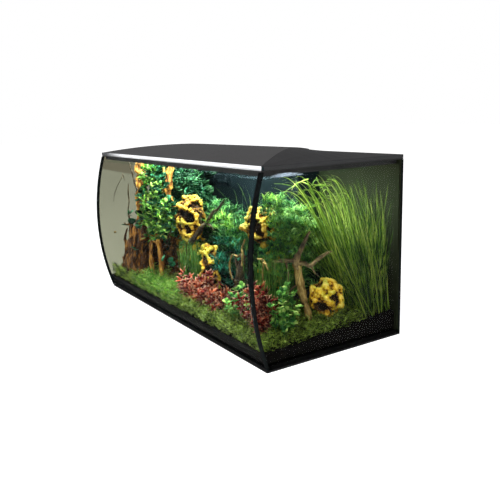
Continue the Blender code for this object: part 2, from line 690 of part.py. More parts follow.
def make_rear_rail():
    """Closes the back of the right wing as far as the cable notch."""
    rail = box("rear_rail", (LUG_X + LUG_WIDTH + GAP, RAIL_Y[0], HOOD_FLOOR),
               (NOTCH_X[0], RAIL_Y[1], LIP_TOP - SHELL - GAP))
    give_material(rail, (0.055, 0.055, 0.060), 0.55)


def lid_ring(y, bottom):
    """The lid's section at depth y, from its crown down to bottom."""
    half = lid_half_width(y)
    top = crown_height(y)
    return [(-half, y, top - LID_EDGE), (-half + LID_EDGE, y, top), (half - LID_EDGE, y, top),
            (half, y, top - LID_EDGE), (half, y, bottom), (-half, y, bottom)]


def make_lid():
    """The crowned lid, which turns on a barrel along its rear edge."""
    stations = 16
    lip_y = LID_FRONT_Y + LID_LIP
    behind_y = lip_y + 0.0003
    rings = [lid_ring(LID_FRONT_Y, HOOD_FLOOR), lid_ring(lip_y, HOOD_FLOOR),
             lid_ring(behind_y, crown_height(behind_y) - SHELL)]
    for i in range(1, stations + 1):
        y = LID_FRONT_Y + (LID_REAR_Y - LID_FRONT_Y) * i / stations
        bottom = LID_REAR_BOTTOM if i >= stations - 1 else crown_height(y) - SHELL
        rings.append(lid_ring(y, bottom))
    lid = loft("lid_panel", rings, smooth_angle=25, origin=(0, HINGE_Y, HINGE_Z))
    centre = (0, HINGE_Y, HINGE_Z)
    barrel = rod("barrel", BARREL_R, centre, (1, 0, 0), -BARREL_HALF, BARREL_HALF, 20)
    join(lid, barrel)
    for side in (-1, 1):
        x0, x1 = sorted((side * (BARREL_HALF - PIN_REACH - GAP), side * (BARREL_HALF + 0.01)))
        cut(lid, rod("bore", BORE_R, centre, (1, 0, 0), x0, x1, 12))
    give_material(lid, (0.085, 0.085, 0.092), 0.5)
    trim = box("front_trim", (-LID_HALF_FRONT, LID_FRONT_Y - 0.0028, HOOD_FLOOR),
               (LID_HALF_FRONT, LID_FRONT_Y - GAP, LID_FRONT_TOP + 0.0002), bevel=0.0006)
    give_material(trim, (0.80, 0.81, 0.83), 0.2)


def make_lamp():
    """A flat light bar under the lid, just ahead of its crown."""
    y0 = LAMP_Y - LAMP_DEPTH / 2
    y1 = LAMP_Y + LAMP_DEPTH / 2
    lens_top = LAMP_BOTTOM + 0.0017
    low = lens_top + GAP
    w = LAMP_WALL
    outline = [(y0, low), (y0, LAMP_TOP), (y1, LAMP_TOP), (y1, low), (y1 - w, low),
               (y1 - w, LAMP_TOP - w), (y0 + w, LAMP_TOP - w), (y0 + w, low)]
    housing = along_x("lamp_housing", outline, -LAMP_HALF, LAMP_HALF)
    give_material(housing, (0.55, 0.56, 0.58), 0.35, 1.0)
    board_top = LAMP_TOP - w - GAP
    board = box("led_board", (-LAMP_HALF + 0.004, y0 + 0.006, board_top - 0.0016),
                (LAMP_HALF - 0.004, y1 - 0.006, board_top))
    give_material(board, (0.85, 0.85, 0.80), 0.5)
    lens = box("lamp_lens", (-LAMP_HALF, y0, LAMP_BOTTOM), (LAMP_HALF, y1, lens_top))
    give_material(lens, (0.92, 0.94, 0.95), 0.1, alpha=0.5)
    hang = crown_height(LAMP_Y - LAMP_HANGER) - SHELL - 0.0006
    for side, name in ((-1, "left"), (1, "right")):
        x0, x1 = sorted((side * (LAMP_HALF + GAP), side * (LAMP_HALF + 0.0035)))
        plan = [(y0, LAMP_BOTTOM), (y1, LAMP_BOTTOM), (y1, LAMP_TOP),
                (LAMP_Y + LAMP_HANGER, LAMP_TOP), (LAMP_Y + LAMP_HANGER, hang),
                (LAMP_Y - LAMP_HANGER, hang), (LAMP_Y - LAMP_HANGER, LAMP_TOP), (y0, LAMP_TOP)]
        cap = along_x("lamp_bracket_" + name, plan, x0, x1)
        give_material(cap, (0.03, 0.03, 0.032), 0.5)


clear_scene()
make_mat_and_floor()
make_panes()
make_seams()
make_back_film()
make_soil()
make_driftwood()
make_stones()
make_plants()
make_filter_housing()
make_foam()
make_media_basket()
make_pump()
make_return_line()
make_rim_frame()
make_wings()
make_rear_rail()
make_lid()
make_lamp()
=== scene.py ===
"""Looks of the planted glass aquarium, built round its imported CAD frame."""
import json
import math

import bmesh
import bpy
import numpy as np
from mathutils import Matrix, Vector, noise

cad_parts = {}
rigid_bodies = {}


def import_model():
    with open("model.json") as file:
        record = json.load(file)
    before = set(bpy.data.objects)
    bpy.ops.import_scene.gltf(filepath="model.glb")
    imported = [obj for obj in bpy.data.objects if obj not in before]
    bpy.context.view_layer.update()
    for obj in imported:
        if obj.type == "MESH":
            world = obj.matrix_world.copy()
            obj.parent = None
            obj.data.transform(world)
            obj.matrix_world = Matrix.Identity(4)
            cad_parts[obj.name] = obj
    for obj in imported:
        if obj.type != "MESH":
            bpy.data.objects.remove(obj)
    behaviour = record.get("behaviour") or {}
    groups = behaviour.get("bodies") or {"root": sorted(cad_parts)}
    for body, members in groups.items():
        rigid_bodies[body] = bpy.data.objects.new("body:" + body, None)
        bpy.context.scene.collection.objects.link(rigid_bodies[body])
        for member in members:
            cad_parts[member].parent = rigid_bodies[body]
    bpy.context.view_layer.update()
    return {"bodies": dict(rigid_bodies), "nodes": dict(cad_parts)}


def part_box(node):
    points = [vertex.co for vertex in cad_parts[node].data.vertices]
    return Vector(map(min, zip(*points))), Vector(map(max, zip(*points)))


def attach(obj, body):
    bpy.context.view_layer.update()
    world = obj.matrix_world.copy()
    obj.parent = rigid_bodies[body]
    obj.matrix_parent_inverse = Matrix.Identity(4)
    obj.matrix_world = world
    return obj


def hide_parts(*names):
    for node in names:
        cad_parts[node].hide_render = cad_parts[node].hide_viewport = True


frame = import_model()
NODES = frame["nodes"]

MM = 0.001
TANK = "tank"

# ---- places read from the frame ---------------------------------------------
PANE_LOW, PANE_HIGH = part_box("front_pane")
SOIL_LOW, SOIL_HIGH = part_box("substrate_bed")
HOUSING_LOW, HOUSING_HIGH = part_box("filter_partition")
RIM_LOW, RIM_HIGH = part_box("rim_frame")
LENS_LOW, LENS_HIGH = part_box("lamp_lens")
TRIM_LOW, TRIM_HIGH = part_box("front_trim")
GLASS = 6 * MM
GAP = 0.4 * MM
INNER_X = PANE_HIGH.x - GLASS
INNER_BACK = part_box("back_pane")[0].y
WATER_Z = RIM_LOW.z - 4.5 * MM
SOIL_FRONT = 0.038
SOIL_BACK = 0.056

# The front pane's arc in side view: foot, head, height and bulge.
ARC_FOOT_Y = -0.1641
ARC_HEAD_Y = -0.1666
ARC_HEIGHT = 0.392
ARC_SAG = 0.0322


def front_arc(inset, z):
    """Y of the front pane's outer arc, moved inwards by inset, at height z."""
    chord = math.hypot(ARC_HEAD_Y - ARC_FOOT_Y, ARC_HEIGHT)
    radius = (chord ** 2 / 4 + ARC_SAG ** 2) / (2 * ARC_SAG)
    reach = radius - ARC_SAG
    centre_y = (ARC_FOOT_Y + ARC_HEAD_Y) / 2 + ARC_HEIGHT / chord * reach
    centre_z = ARC_HEIGHT / 2 - (ARC_HEAD_Y - ARC_FOOT_Y) / chord * reach
    return centre_y - math.sqrt((radius - inset) ** 2 - (z - centre_z) ** 2)


def soil_height(y):
    """The CAD soil's top: it rises from front to back."""
    t = np.clip((np.asarray(y, float) + 0.17) / 0.36, 0, 1)
    return SOIL_FRONT + (SOIL_BACK - SOIL_FRONT) * t ** 1.6


# ---- material tools ------------------------------------------------------------
def shade(value):
    """A node's colour from thousandths; a single number is a grey."""
    return (*(np.broadcast_to(value, 3) / 1000), 1.0)


class Shader:
    """A short way to write a node material."""

    def __init__(self, name):
        self.material = bpy.data.materials.new(name)
        self.material.use_nodes = True
        self.tree = self.material.node_tree
        self.bsdf = self.tree.nodes["Principled BSDF"]
        self.coords = self.node("TexCoord", out="Object")

    def node(self, kind, inputs=None, out=0, **settings):
        """Add a node and return one of its outputs."""
        node = self.tree.nodes.new("ShaderNode" + kind)
        for key, value in settings.items():
            setattr(node, key, value)
        for key, value in (inputs or {}).items():
            self.set(node.inputs[key], value)
        return node.outputs[out]

    def set(self, socket, value):
        if isinstance(value, bpy.types.NodeSocket):
            self.tree.links.new(value, socket)
        elif socket.type == "RGBA":
            socket.default_value = shade(value)
        else:
            socket.default_value = value

    def noise(self, scale, detail=4.0, roughness=0.6, stretch=None):
        coords = self.coords
        if stretch:
            coords = self.node("Mapping", {"Vector": coords, "Scale": stretch})
        return self.node("TexNoise", {"Vector": coords, "Scale": scale, "Detail": detail,
                                      "Roughness": roughness}, "Fac")

    def cells(self, scale, out="Distance"):
        return self.node("TexVoronoi", {"Vector": self.coords, "Scale": scale}, out)

    def axis(self, k, vector=None):
        return self.node("SeparateXYZ", {0: vector or self.coords}, k)

    def ramp(self, fac, *stops):
        color = self.node("ValToRGB", {"Fac": fac}, "Color")
        elements = color.node.color_ramp.elements
        while len(elements) < len(stops):
            elements.new(0.5)
        for element, (place, value) in zip(elements, stops):
            element.position = place
            element.color = shade(value)
        return color

    def math(self, operation, a, b=0.0, clamp=False):
        return self.node("Math", {0: a, 1: b}, operation=operation, use_clamp=clamp)

    def times(self, a, b, clamp=False):
        return self.math("MULTIPLY", a, b, clamp)

    def plus(self, a, b):
        return self.math("ADD", a, b)

    def fit(self, value, from_min, from_max, to_min=0.0, to_max=1.0):
        return self.node("MapRange", {"Value": value, "From Min": from_min, "From Max": from_max,
                                      "To Min": to_min, "To Max": to_max}, "Result")

    def mix(self, fac, a, b, blend="MIX"):
        return self.node("MixRGB", {"Fac": fac, "Color1": a, "Color2": b}, "Color", blend_type=blend)

    def tone(self):
        """The tone that a pile stores on its points."""
        return self.node("Attribute", out="Fac", attribute_name="tone")

    def bump(self, height, strength, distance):
        return self.node("Bump", {"Height": height, "Strength": strength, "Distance": distance},
                         "Normal")

    def done(self, bump=None, **values):
        """Set the principled shader and return the material."""
        names = {"color": "Base Color", "rough": "Roughness", "metal": "Metallic",
                 "specular": "Specular IOR Level", "glow": "Emission Strength",
                 "glow_color": "Emission Color"}
        for key, value in values.items():
            self.set(self.bsdf.inputs[names[key]], value)
        if bump:
            self.set(self.bsdf.inputs["Normal"], self.bump(*bump))
        return self.material

    def clear(self, color):
        return self.node("BsdfTransparent", {"Color": color})

    def surface(self, fac, first, second=None):
        """Show a mix of two shaders; the second is the principled one unless it is given."""
        whole = self.node("MixShader", {0: fac, 1: first, 2: second or self.bsdf.outputs[0]})
        self.set(self.tree.nodes["Material Output"].inputs["Surface"], whole)
        return self.material


def plastic(name, dark, light, rough=0.5, grain=0.15, scale=900, specular=0.5):
    """Moulded plastic: fine grain, slow tone changes and faint scuffs."""
    s = Shader(name)
    fine = s.noise(scale, 3)
    scuff = s.fit(s.noise(60, 6, 0.7, (1, 6, 1)), 0.55, 0.75, 0.0, 0.12)
    tone = s.plus(s.times(fine, 0.4), s.times(s.noise(9, 3), 0.6))
    return s.done((fine, grain, 0.2 * MM), color=s.ramp(tone, (0.3, dark), (0.7, light)),
                  rough=s.plus(s.fit(fine, 0.3, 0.7, rough - 0.06, rough + 0.06), scuff),
                  specular=specular)


def brushed(name, dark, light, rough=0.32):
    """Drawn or anodised metal with fine lines along X."""
    s = Shader(name)
    lines = s.noise(40, 5, 0.7, (0.6, 40, 40))
    return s.done((lines, 0.1, 0.1 * MM), color=s.ramp(lines, (0.3, dark), (0.7, light)), metal=1.0,
                  rough=s.fit(lines, 0.3, 0.7, rough - 0.08, rough + 0.1))


def glass(name, tint, edge_axis=0, gloss=0.03, hood_reflection_band=None, dark_edge=True):
    """Clear pane: a tinted see-through face, faint Fresnel gloss with smudges, and dark cut edges."""
    s = Shader(name)
    smudge = s.noise(14, 6, 0.7)
    color = s.ramp(smudge, (0.3, np.array(tint) * 0.97), (0.7, tint))
    # Painted reflection: the band colour darkens a strip along the pane's top front and stands in for the
    # dark hood mirrored in the glass.
    if hood_reflection_band:
        line = s.plus(s.axis(2), s.times(s.plus(s.axis(1), 0.17), 0.25))
        front = s.fit(s.axis(1), -0.06, -0.085)
        color = s.mix(s.times(s.fit(line, 0.35, 0.356), front), color, hood_reflection_band)
    shine = s.node("BsdfGlossy", {"Color": 1000, "Roughness": s.fit(smudge, 0.45, 0.8, 0.02, 0.14)})
    amount = s.fit(smudge, 0.3, 0.7, gloss * 0.8, gloss * 1.2)
    fac = s.times(s.node("Fresnel", {"IOR": 1.45}), amount, True)
    face = s.node("MixShader", {0: fac, 1: s.clear(color), 2: shine})
    across = s.axis(edge_axis, s.node("NewGeometry", out="Normal"))
    is_edge = s.math("GREATER_THAN", s.math("ABSOLUTE", across), 0.9 if dark_edge else 2.0)
    s.done(color=s.ramp(s.noise(120, 3), (0.3, (2, 3, 3)), (0.7, (6, 8, 8))),
           rough=0.5, specular=0.03)
    return s.surface(is_edge, face)


def leaf(name, dark, mid, light, tip=None, patch=25.0):
    """Thin leaf: each leaf has its own tone, it is darker at its foot, and light shines through."""
    s = Shader(name)
    tone = s.tone()
    mixed = s.plus(s.times(s.node("NewGeometry", out="Random Per Island"), 0.46),
                   s.plus(s.fit(s.noise(patch, 3), 0.32, 0.68, 0.0, 0.36), s.times(tone, 0.2)))
    color = s.ramp(mixed, (0.26, dark), (0.56, mid), (0.9, light))
    if tip:
        color = s.mix(s.fit(tone, 0.6, 1.0, 0.0, 0.85), color, tip)
    vein = s.noise(500, 2)
    color = s.mix(0.25, color, s.ramp(vein, (0.4, 250), (0.6, 1000)), "MULTIPLY")
    s.done((vein, 0.2, 0.2 * MM), color=color, rough=s.fit(vein, 0.3, 0.7, 0.37, 0.57), specular=0.2)
    return s.surface(0.3, s.bsdf.outputs[0], s.node("BsdfTranslucent", {"Color": color}))


def wood(name, dark, mid, light):
    """Bog wood: long fibres, and a tone that is darker in the grooves and paler on the ridges."""
    s = Shader(name)
    fibre = s.noise(110, 6, 0.75, (1, 1, 0.14))
    mixed = s.plus(s.fit(fibre, 0.3, 0.7, 0.0, 0.42),
                   s.plus(s.fit(s.noise(26, 4), 0.3, 0.7, 0.0, 0.28), s.times(s.tone(), 0.3)))
    return s.done((fibre, 0.8, 2 * MM), color=s.ramp(mixed, (0.3, dark), (0.52, mid), (0.8, light)),
                  rough=s.fit(fibre, 0.3, 0.7, 0.55, 0.85), specular=0.2)


def lace_stone():
    """Weathered yellow stone: pale ridges, rusty slopes and mossy patches, with painted shade that turns
    the hollows near-black and darkens the high rocks.
    """
    s = Shader("lace_stone")
    speckle = s.noise(160, 6, 0.7)
    mottled = s.math("SUBTRACT", s.plus(speckle, s.noise(34, 4)), 1.0)
    mixed = s.plus(s.times(s.tone(), 0.85), s.times(mottled, 0.8))
    color = s.ramp(mixed, (0.08, (8, 5, 3)), (0.3, (70, 30, 7)),
                   (0.48, (360, 170, 13)), (0.66, (720, 440, 24)), (0.92, (900, 700, 130)))
    moss = s.fit(s.noise(24, 3), 0.46, 0.62, 0.0, 0.8)
    color = s.mix(moss, color, s.mix(1.0, color, (420, 660, 500), "MULTIPLY"))
    # Painted shade: the stone is darkened with height from 0.13 m up, holding back the lamp's strong
    # light on the high rocks.
    high_rock_shade = s.ramp(s.fit(s.axis(2), 0.13, 0.22), (0.0, 1000), (1.0, (290, 255, 220)))
    return s.done((speckle, 0.8, 1.5 * MM), color=s.mix(1.0, color, high_rock_shade, "MULTIPLY"),
                  rough=s.fit(speckle, 0.3, 0.7, 0.7, 0.95), specular=0.15)


def soil_material():
    s = Shader("soil_grains")
    fac = s.node("SeparateColor", {0: s.cells(420, "Color")})
    color = s.ramp(fac, (0.0, (0.8, 0.7, 0.6)), (0.7, (2, 1.7, 1.4)),
                   (1.0, (9, 7, 5)))
    return s.done((s.cells(420), 0.9, 1.5 * MM), color=color, rough=0.95, specular=0.08)


def foam_material(name, dark, light, scale=900):
    s = Shader(name)
    pores = s.cells(scale)
    return s.done((pores, 1.0, 1.0 * MM), color=s.ramp(pores, (0.1, dark), (0.6, light)), rough=0.95)


def glint_material():
    """Painted highlight at the water's edge: clear water with a broken bluish glow that stands in for the
    lamp's glare and fades at both ends.
    """
    s = Shader("water_glint")
    broken = s.fit(s.noise(120, 3, 0.6, (1, 1, 5)), 0.38, 0.62, 0.25, 1.0)
    ends = s.times(s.fit(s.axis(1), -0.142, -0.116), s.fit(s.axis(1), -0.063, -0.084))
    # The glow is painted light: this strip is no lamp.
    s.done(color=(500, 600, 720), rough=0.25, glow=0.06, glow_color=(750, 880, 1000))
    return s.surface(s.times(ends, broken), s.clear(1000))


def water_material():
    """Water surface: clear and softly rippled, with a painted reflection that is strongest in the right
    front corner.
    """
    s = Shader("water")
    normal = s.bump(s.noise(26, 3, 0.55, (1, 1.6, 1)), 0.5, 4 * MM)
    shine = s.node("BsdfGlossy", {"Color": (750, 900, 1000), "Roughness": 0.06, "Normal": normal})
    # Painted reflection: this mask turns the water's shine up in the right front corner only.
    corner = s.times(s.fit(s.axis(0), 0.3, 0.38), s.fit(s.axis(1), -0.02, -0.08))
    fac = s.times(s.node("Fresnel", {"IOR": 1.33}), s.fit(corner, 0.0, 1.0, 0.02, 0.14))
    return s.surface(fac, s.clear((930, 975, 960)), shine)


def trim_material():
    """Satin strip with a painted reflection: bright and faintly glowing, painted dark over its left end,
    with painted shade towards its lower edge.
    """
    s = Shader("trim_painted_sheen")
    # Painted reflection: the strip runs from dark grey at its left end to bright, and is dimmed towards
    # its lower edge.
    along = s.fit(s.axis(0), -0.37, -0.25)
    painted_sheen_height = s.fit(s.axis(2), TRIM_LOW.z, TRIM_LOW.z + 0.55 * (TRIM_HIGH.z - TRIM_LOW.z), 0.35, 1.0)
    fleck = s.noise(300, 3)
    bright = s.ramp(fleck, (0.3, (760, 770, 800)), (0.7, (900, 900, 920)))
    # Painted shade: this darkens the colour towards the strip's lower edge.
    below = s.ramp(painted_sheen_height, (0.0, 0), (1.0, 1000))
    # The glow is painted light that grows to the right and upwards; the trim is no lamp.
    return s.done(color=s.mix(1.0, s.mix(along, (50, 50, 55), bright), below, "MULTIPLY"),
                  rough=s.fit(fleck, 0.3, 0.7, 0.25, 0.38), glow_color=(950, 970, 1000),
                  glow=s.times(s.fit(along, 0.0, 1.0, 0.0, 0.28), painted_sheen_height))


def lens_material():
    s = Shader("lens_ribbed")
    ribs = s.node("TexWave", {"Vector": s.coords, "Scale": 160.0}, "Fac")
    s.done((ribs, 0.4, 0.5 * MM), glow=s.fit(ribs, 0.0, 1.0, 1.5, 3.0), glow_color=(900, 960, 1000),
           color=s.ramp(ribs, (0.2, (750, 800, 850)), (0.8, (950, 970, 1000))), rough=0.2)
    return s.surface(0.5, s.clear((900, 950, 1000)))


# ---- mesh tools ------------------------------------------------------------------
def smoothstep(value, low, high):
    t = np.clip((value - low) / (high - low), 0, 1)
    return t * t * (3 - 2 * t)


def unit(vectors):
    return vectors / np.maximum(np.linalg.norm(vectors, axis=-1, keepdims=True), 1e-9)


def tube_faces(rings, sides, tip=True):
    """Triangles of a closed tube: a foot point, rings of sides points, and a tip point."""
    faces = []
    for j in range(sides):
        faces.append((0, 1 + (j + 1) % sides, 1 + j))
    for i in range(rings - 1):
        a = 1 + i * sides
        b = a + sides
        for j in range(sides):
            k = (j + 1) % sides
            faces.append((a + j, a + k, b + j))
            faces.append((a + k, b + k, b + j))
    last = 1 + (rings - 1) * sides
    end = last + sides
    for j in range(sides):
        faces.append((end, last + j, last + (j + 1) % sides))
    return np.array(faces)


def push_inside(points):
    """How far each small shape has to move to stay between the panes and under the water."""
    low, high = points.min(1), points.max(1)
    side = INNER_X - 0.6 * MM
    heights = np.linspace(0, 0.42, 60)
    front = np.array([front_arc(GLASS, z) for z in heights]) + 0.6 * MM
    ahead = (np.interp(points[:, :, 2], heights, front) - points[:, :, 1]).max(1)
    by_housing = (low[:, 0] + high[:, 0]) / 2 < HOUSING_HIGH.x - 20 * MM
    back = np.where(by_housing, HOUSING_LOW.y, INNER_BACK) - 0.6 * MM
    move = np.zeros_like(low)
    move[:, 0] = np.maximum(-side - low[:, 0], 0) - np.maximum(high[:, 0] - side, 0)
    move[:, 1] = np.maximum(ahead, 0) - np.maximum(high[:, 1] - back, 0)
    move[:, 2] = -np.maximum(high[:, 2] - WATER_Z + 1.5 * MM, 0)
    return move[:, None]


class Pile:
    """Many small closed shapes gathered into one mesh, with a tone on every point."""

    def __init__(self, planted=True):
        self.planted = planted
        self.clear()

    def clear(self):
        self.points, self.faces, self.tones = [], [], []
        self.count = 0

    def add(self, points, faces, tones):
        """points is (n, k, 3), faces (f, 3) of one shape, and tones (n, k)."""
        n, k, _ = points.shape
        if self.planted and k < 200:
            points = points + push_inside(points)
        shift = self.count + np.arange(n)[:, None, None] * k
        self.faces.append((faces[None] + shift).reshape(-1, 3))
        self.points.append(points.reshape(-1, 3))
        self.tones.append(np.broadcast_to(tones, (n, k)).reshape(-1))
        self.count += n * k

    def piece(self, name, key, *replaces, slot="leaf_green", body=TANK, smooth=True):
        """Turn what has been gathered into a piece, and start afresh."""
        points = np.concatenate(self.points).astype(np.float32)
        faces = np.concatenate(self.faces).astype(np.int32)
        mesh = bpy.data.meshes.new(name)
        mesh.vertices.add(len(points))
        mesh.vertices.foreach_set("co", points.ravel())
        mesh.loops.add(faces.size)
        mesh.loops.foreach_set("vertex_index", faces.ravel())
        mesh.polygons.add(len(faces))
        mesh.polygons.foreach_set("loop_start", np.arange(0, faces.size, 3, dtype=np.int32))
        mesh.polygons.foreach_set("use_smooth", np.full(len(faces), smooth))
        mesh.update(calc_edges=True)
        tone = mesh.attributes.new("tone", "FLOAT", "POINT")
        tone.data.foreach_set("value", np.concatenate(self.tones).astype(np.float32))
        finish_piece(name, mesh, key, slot, *replaces, body=body)
        self.clear()


def mesh_from(edit, name):
    mesh = bpy.data.meshes.new(name)
    edit.to_mesh(mesh)
    edit.free()
    return mesh


def link(name, data):
    """A new object in the scene."""
    thing = bpy.data.objects.new(name, data)
    bpy.context.scene.collection.objects.link(thing)
    return thing


def finish_piece(name, mesh, key, slot, *replaces, body=TANK):
    """Put a mesh in the scene as a piece that rides on a body."""
    piece = link(name, mesh)
    mesh.materials.append(MAT[key])
    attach(piece, body)
    if replaces:
        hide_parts(*replaces)


LEAF_SIDES = 4

# Half widths of a leaf at even steps along it.
OVAL = (0.34, 0.5, 0.3)
ROUND = (0.42, 0.5, 0.42)
LANCE = (0.4, 0.3)


def add_leaves(pile, feet, along, up, length, width, widths, droop=0.15, fold=0.15, thick=0.03):
    """Closed leaves with a raised rib; widths are half widths at even steps along the leaf."""
    n = len(feet)
    x = unit(along)
    y = unit(np.cross(up, x))
    z = np.cross(x, y)
    steps = np.linspace(0, 1, len(widths) + 2)[1:-1]
    shape = [(0, 0, 0)]
    for t, half in zip(steps, widths):
        sag = -droop * t * t
        shape += [(t, half, sag + fold * half), (t, 0, sag + thick),
                  (t, -half, sag + fold * half), (t, 0, sag - thick)]
    shape.append((1, 0, -droop))
    shape = np.array(shape)
    length = np.broadcast_to(length, n)[:, None, None]
    width = np.broadcast_to(width, n)[:, None, None]
    points = (feet[:, None] + x[:, None] * shape[None, :, 0:1] * length
              + y[:, None] * shape[None, :, 1:2] * width + z[:, None] * shape[None, :, 2:3] * length)
    pile.add(points, tube_faces(len(widths), LEAF_SIDES), np.clip(shape[None, :, 0], 0, 1))


def add_blades(pile, feet, middles, tips, width, side, rings=5, thick=0.3, taper=1.6):
    """Closed blades on quadratic curves, three-sided and pointed."""
    n = len(feet)
    width = np.broadcast_to(width, n)[:, None]
    side = unit(side)
    rows = [feet[:, None]]
    tones = [0.0]
    for i in range(rings):
        t = 0.02 + 0.93 * i / (rings - 1)
        place = feet * (1 - t) ** 2 + middles * 2 * t * (1 - t) + tips * t * t
        heading = unit((middles - feet) * (1 - t) + (tips - middles) * t)
        across = unit(side - heading * (side * heading).sum(1, keepdims=True))
        normal = np.cross(heading, across)
        half = width * 0.5 * (1 - t ** taper) + width * 0.06
        rows.append(np.stack([place + across * half, place + normal * half * thick,
                              place - across * half], 1))
        tones += [t] * 3
    rows.append(tips[:, None])
    tones.append(1.0)
    pile.add(np.concatenate(rows, 1), tube_faces(rings, 3), np.array(tones)[None])


def add_stems(pile, feet, middles, tips, radius, rings=4):
    """Thin round stems; they are blades with equal sides."""
    side = np.tile([[1.0, 0.2, 0.0]], (len(feet), 1))
    add_blades(pile, feet, middles, tips, np.asarray(radius) * 2, side, rings, thick=1.6, taper=4)


def spline(points, count):
    """Points at even parameter steps on a Catmull-Rom curve through the given rows."""
    points = np.asarray(points, float)
    padded = np.vstack([2 * points[0] - points[1], points, 2 * points[-1] - points[-2]])
    out = []
    for s in np.linspace(0, len(points) - 1 - 1e-6, count):
        i = int(s)
        t = s - i
        p0, p1, p2, p3 = padded[i:i + 4]
        out.append(0.5 * (2 * p1 + (p2 - p0) * t + (2 * p0 - 5 * p1 + 4 * p2 - p3) * t * t
                          + (3 * p1 - p0 - 3 * p2 + p3) * t ** 3))
    return np.array(out)


def add_limb(pile, stations, rings=40, sides=14, rough=0.35, seed=0.0):
    """A gnarled limb through (x, y, z, radius) stations, grooved along its length."""
    path = spline(stations, rings)
    centre = path[:, :3]
    radius = np.maximum(path[:, 3], 0.4 * MM)
    heading = unit(np.gradient(centre, axis=0))
    side = unit(np.cross(heading[0], [0.3, 1.0, 0.1]))
    points = [centre[0] - heading[0] * radius[0] * 0.1]
    tones = [0.3]
    for i in range(rings):
        side = unit(side - heading[i] * side.dot(heading[i]))
        up = np.cross(heading[i], side)
        for k in range(sides):
            angle = 2 * math.pi * k / sides
            spot = Vector((math.cos(angle) * 1.6 + seed, math.sin(angle) * 1.6, i * 0.16))
            groove = noise.noise(spot) + 0.5 * noise.noise(spot * 2.7)
            knot = noise.noise(Vector((seed * 3, 7.0, i * 0.35))) * 0.5
            swell = 1 + rough * (groove + knot)
            offset = side * math.cos(angle) + up * math.sin(angle)
            points.append(centre[i] + offset * radius[i] * swell)
            # The tone follows the grooves: darker in them and paler on the ridges.
            tones.append(min(max(0.5 + groove * 0.7, 0), 1))
    points.append(centre[-1] + heading[-1] * radius[-1] * 0.5)
    tones.append(0.5)
    pile.add(np.array(points)[None], tube_faces(rings, sides), np.array(tones)[None])


def height_block(x0, x1, nx, y_back, ny, top, bottom):
    """A closed block whose front face follows the front pane and whose top is top(x, y)."""
    def y_front(z):
        return front_arc(GLASS + GAP, z)

    edit = bmesh.new()
    rows = []
    for i in range(nx + 1):
        x = x0 + (x1 - x0) * i / nx
        front = y_front(top(x, y_front(SOIL_FRONT)))
        upper = []
        lower = []
        for j in range(ny + 1):
            t = j / ny
            y = front + (y_back - front) * t
            upper.append(edit.verts.new((x, y, top(x, y))))
            low_front = y_front(bottom)
            lower.append(edit.verts.new((x, low_front + (y_back - low_front) * t, bottom)))
        rows.append((upper, lower))
    for i in range(nx):
        (a_up, a_low), (b_up, b_low) = rows[i], rows[i + 1]
        for j in range(ny):
            edit.faces.new((a_up[j], b_up[j], b_up[j + 1], a_up[j + 1]))
            edit.faces.new((a_low[j], a_low[j + 1], b_low[j + 1], b_low[j]))
        edit.faces.new((a_up[0], a_low[0], b_low[0], b_up[0]))
        edit.faces.new((a_up[ny], b_up[ny], b_low[ny], a_low[ny]))
    for j in range(ny):
        up, low = rows[0]
        edit.faces.new((up[j], up[j + 1], low[j + 1], low[j]))
        up, low = rows[-1]
        edit.faces.new((up[j], low[j], low[j + 1], up[j + 1]))
    bmesh.ops.recalc_face_normals(edit, faces=edit.faces)
    return edit


# ---- planting --------------------------------------------------------------------
def directions(rng, n, up=0.3):
    """Random headings that lean upwards."""
    heading = rng.normal(size=(n, 3))
    heading[:, 2] = np.abs(heading[:, 2]) * 0.6 + up
    return unit(heading)


def rooted(x, y, lift=0.0):
    """Points on the bed, or a little above or below it."""
    return np.stack([x, y, soil_height(y) + lift], 1)


def scatter(rng, n, *ranges):
    """Random points in a block."""
    return np.stack([rng.uniform(*r, n) for r in ranges], 1)


def add_clump(pile, rng, centre, size, n, length, width, widths, up=0.3, **shape):
    """Leaves over and inside a rounded clump."""
    out = unit(rng.normal(size=(n, 3)))
    depth = rng.uniform(0.35, 1.0, (n, 1)) ** 0.5
    feet = np.asarray(centre) + out * depth * np.asarray(size)
    heading = unit(out * 0.8 + directions(rng, n, up))
    top = unit(rng.normal(size=(n, 3)) * 0.5 + [0, 0, 1.2] + out * 0.4)
    scale = rng.uniform(0.7, 1.25, n)
    add_leaves(pile, feet, heading, top, length * scale, width * scale, widths, **shape)


def add_tuft(pile, rng, foot, n, reach, height, width, lean=(0, 0, 0), rings=5):
    """Fine blades that fan out from one foot."""
    feet = np.asarray(foot) + rng.normal(size=(n, 3)) * [3 * MM, 3 * MM, 0.5 * MM]
    angle = rng.uniform(0, 2 * math.pi, n)
    far = reach * rng.uniform(0.2, 1.0, n)
    rise = height * rng.uniform(0.55, 1.0, n)
    tips = feet + np.stack([np.cos(angle) * far, np.sin(angle) * far, rise], 1) + np.asarray(lean)
    middles = feet + (tips - feet) * [0.25, 0.25, 0.75]
    side = np.stack([-np.sin(angle), np.cos(angle), np.zeros(n)], 1)
    add_blades(pile, feet, middles, tips, width, side, rings)


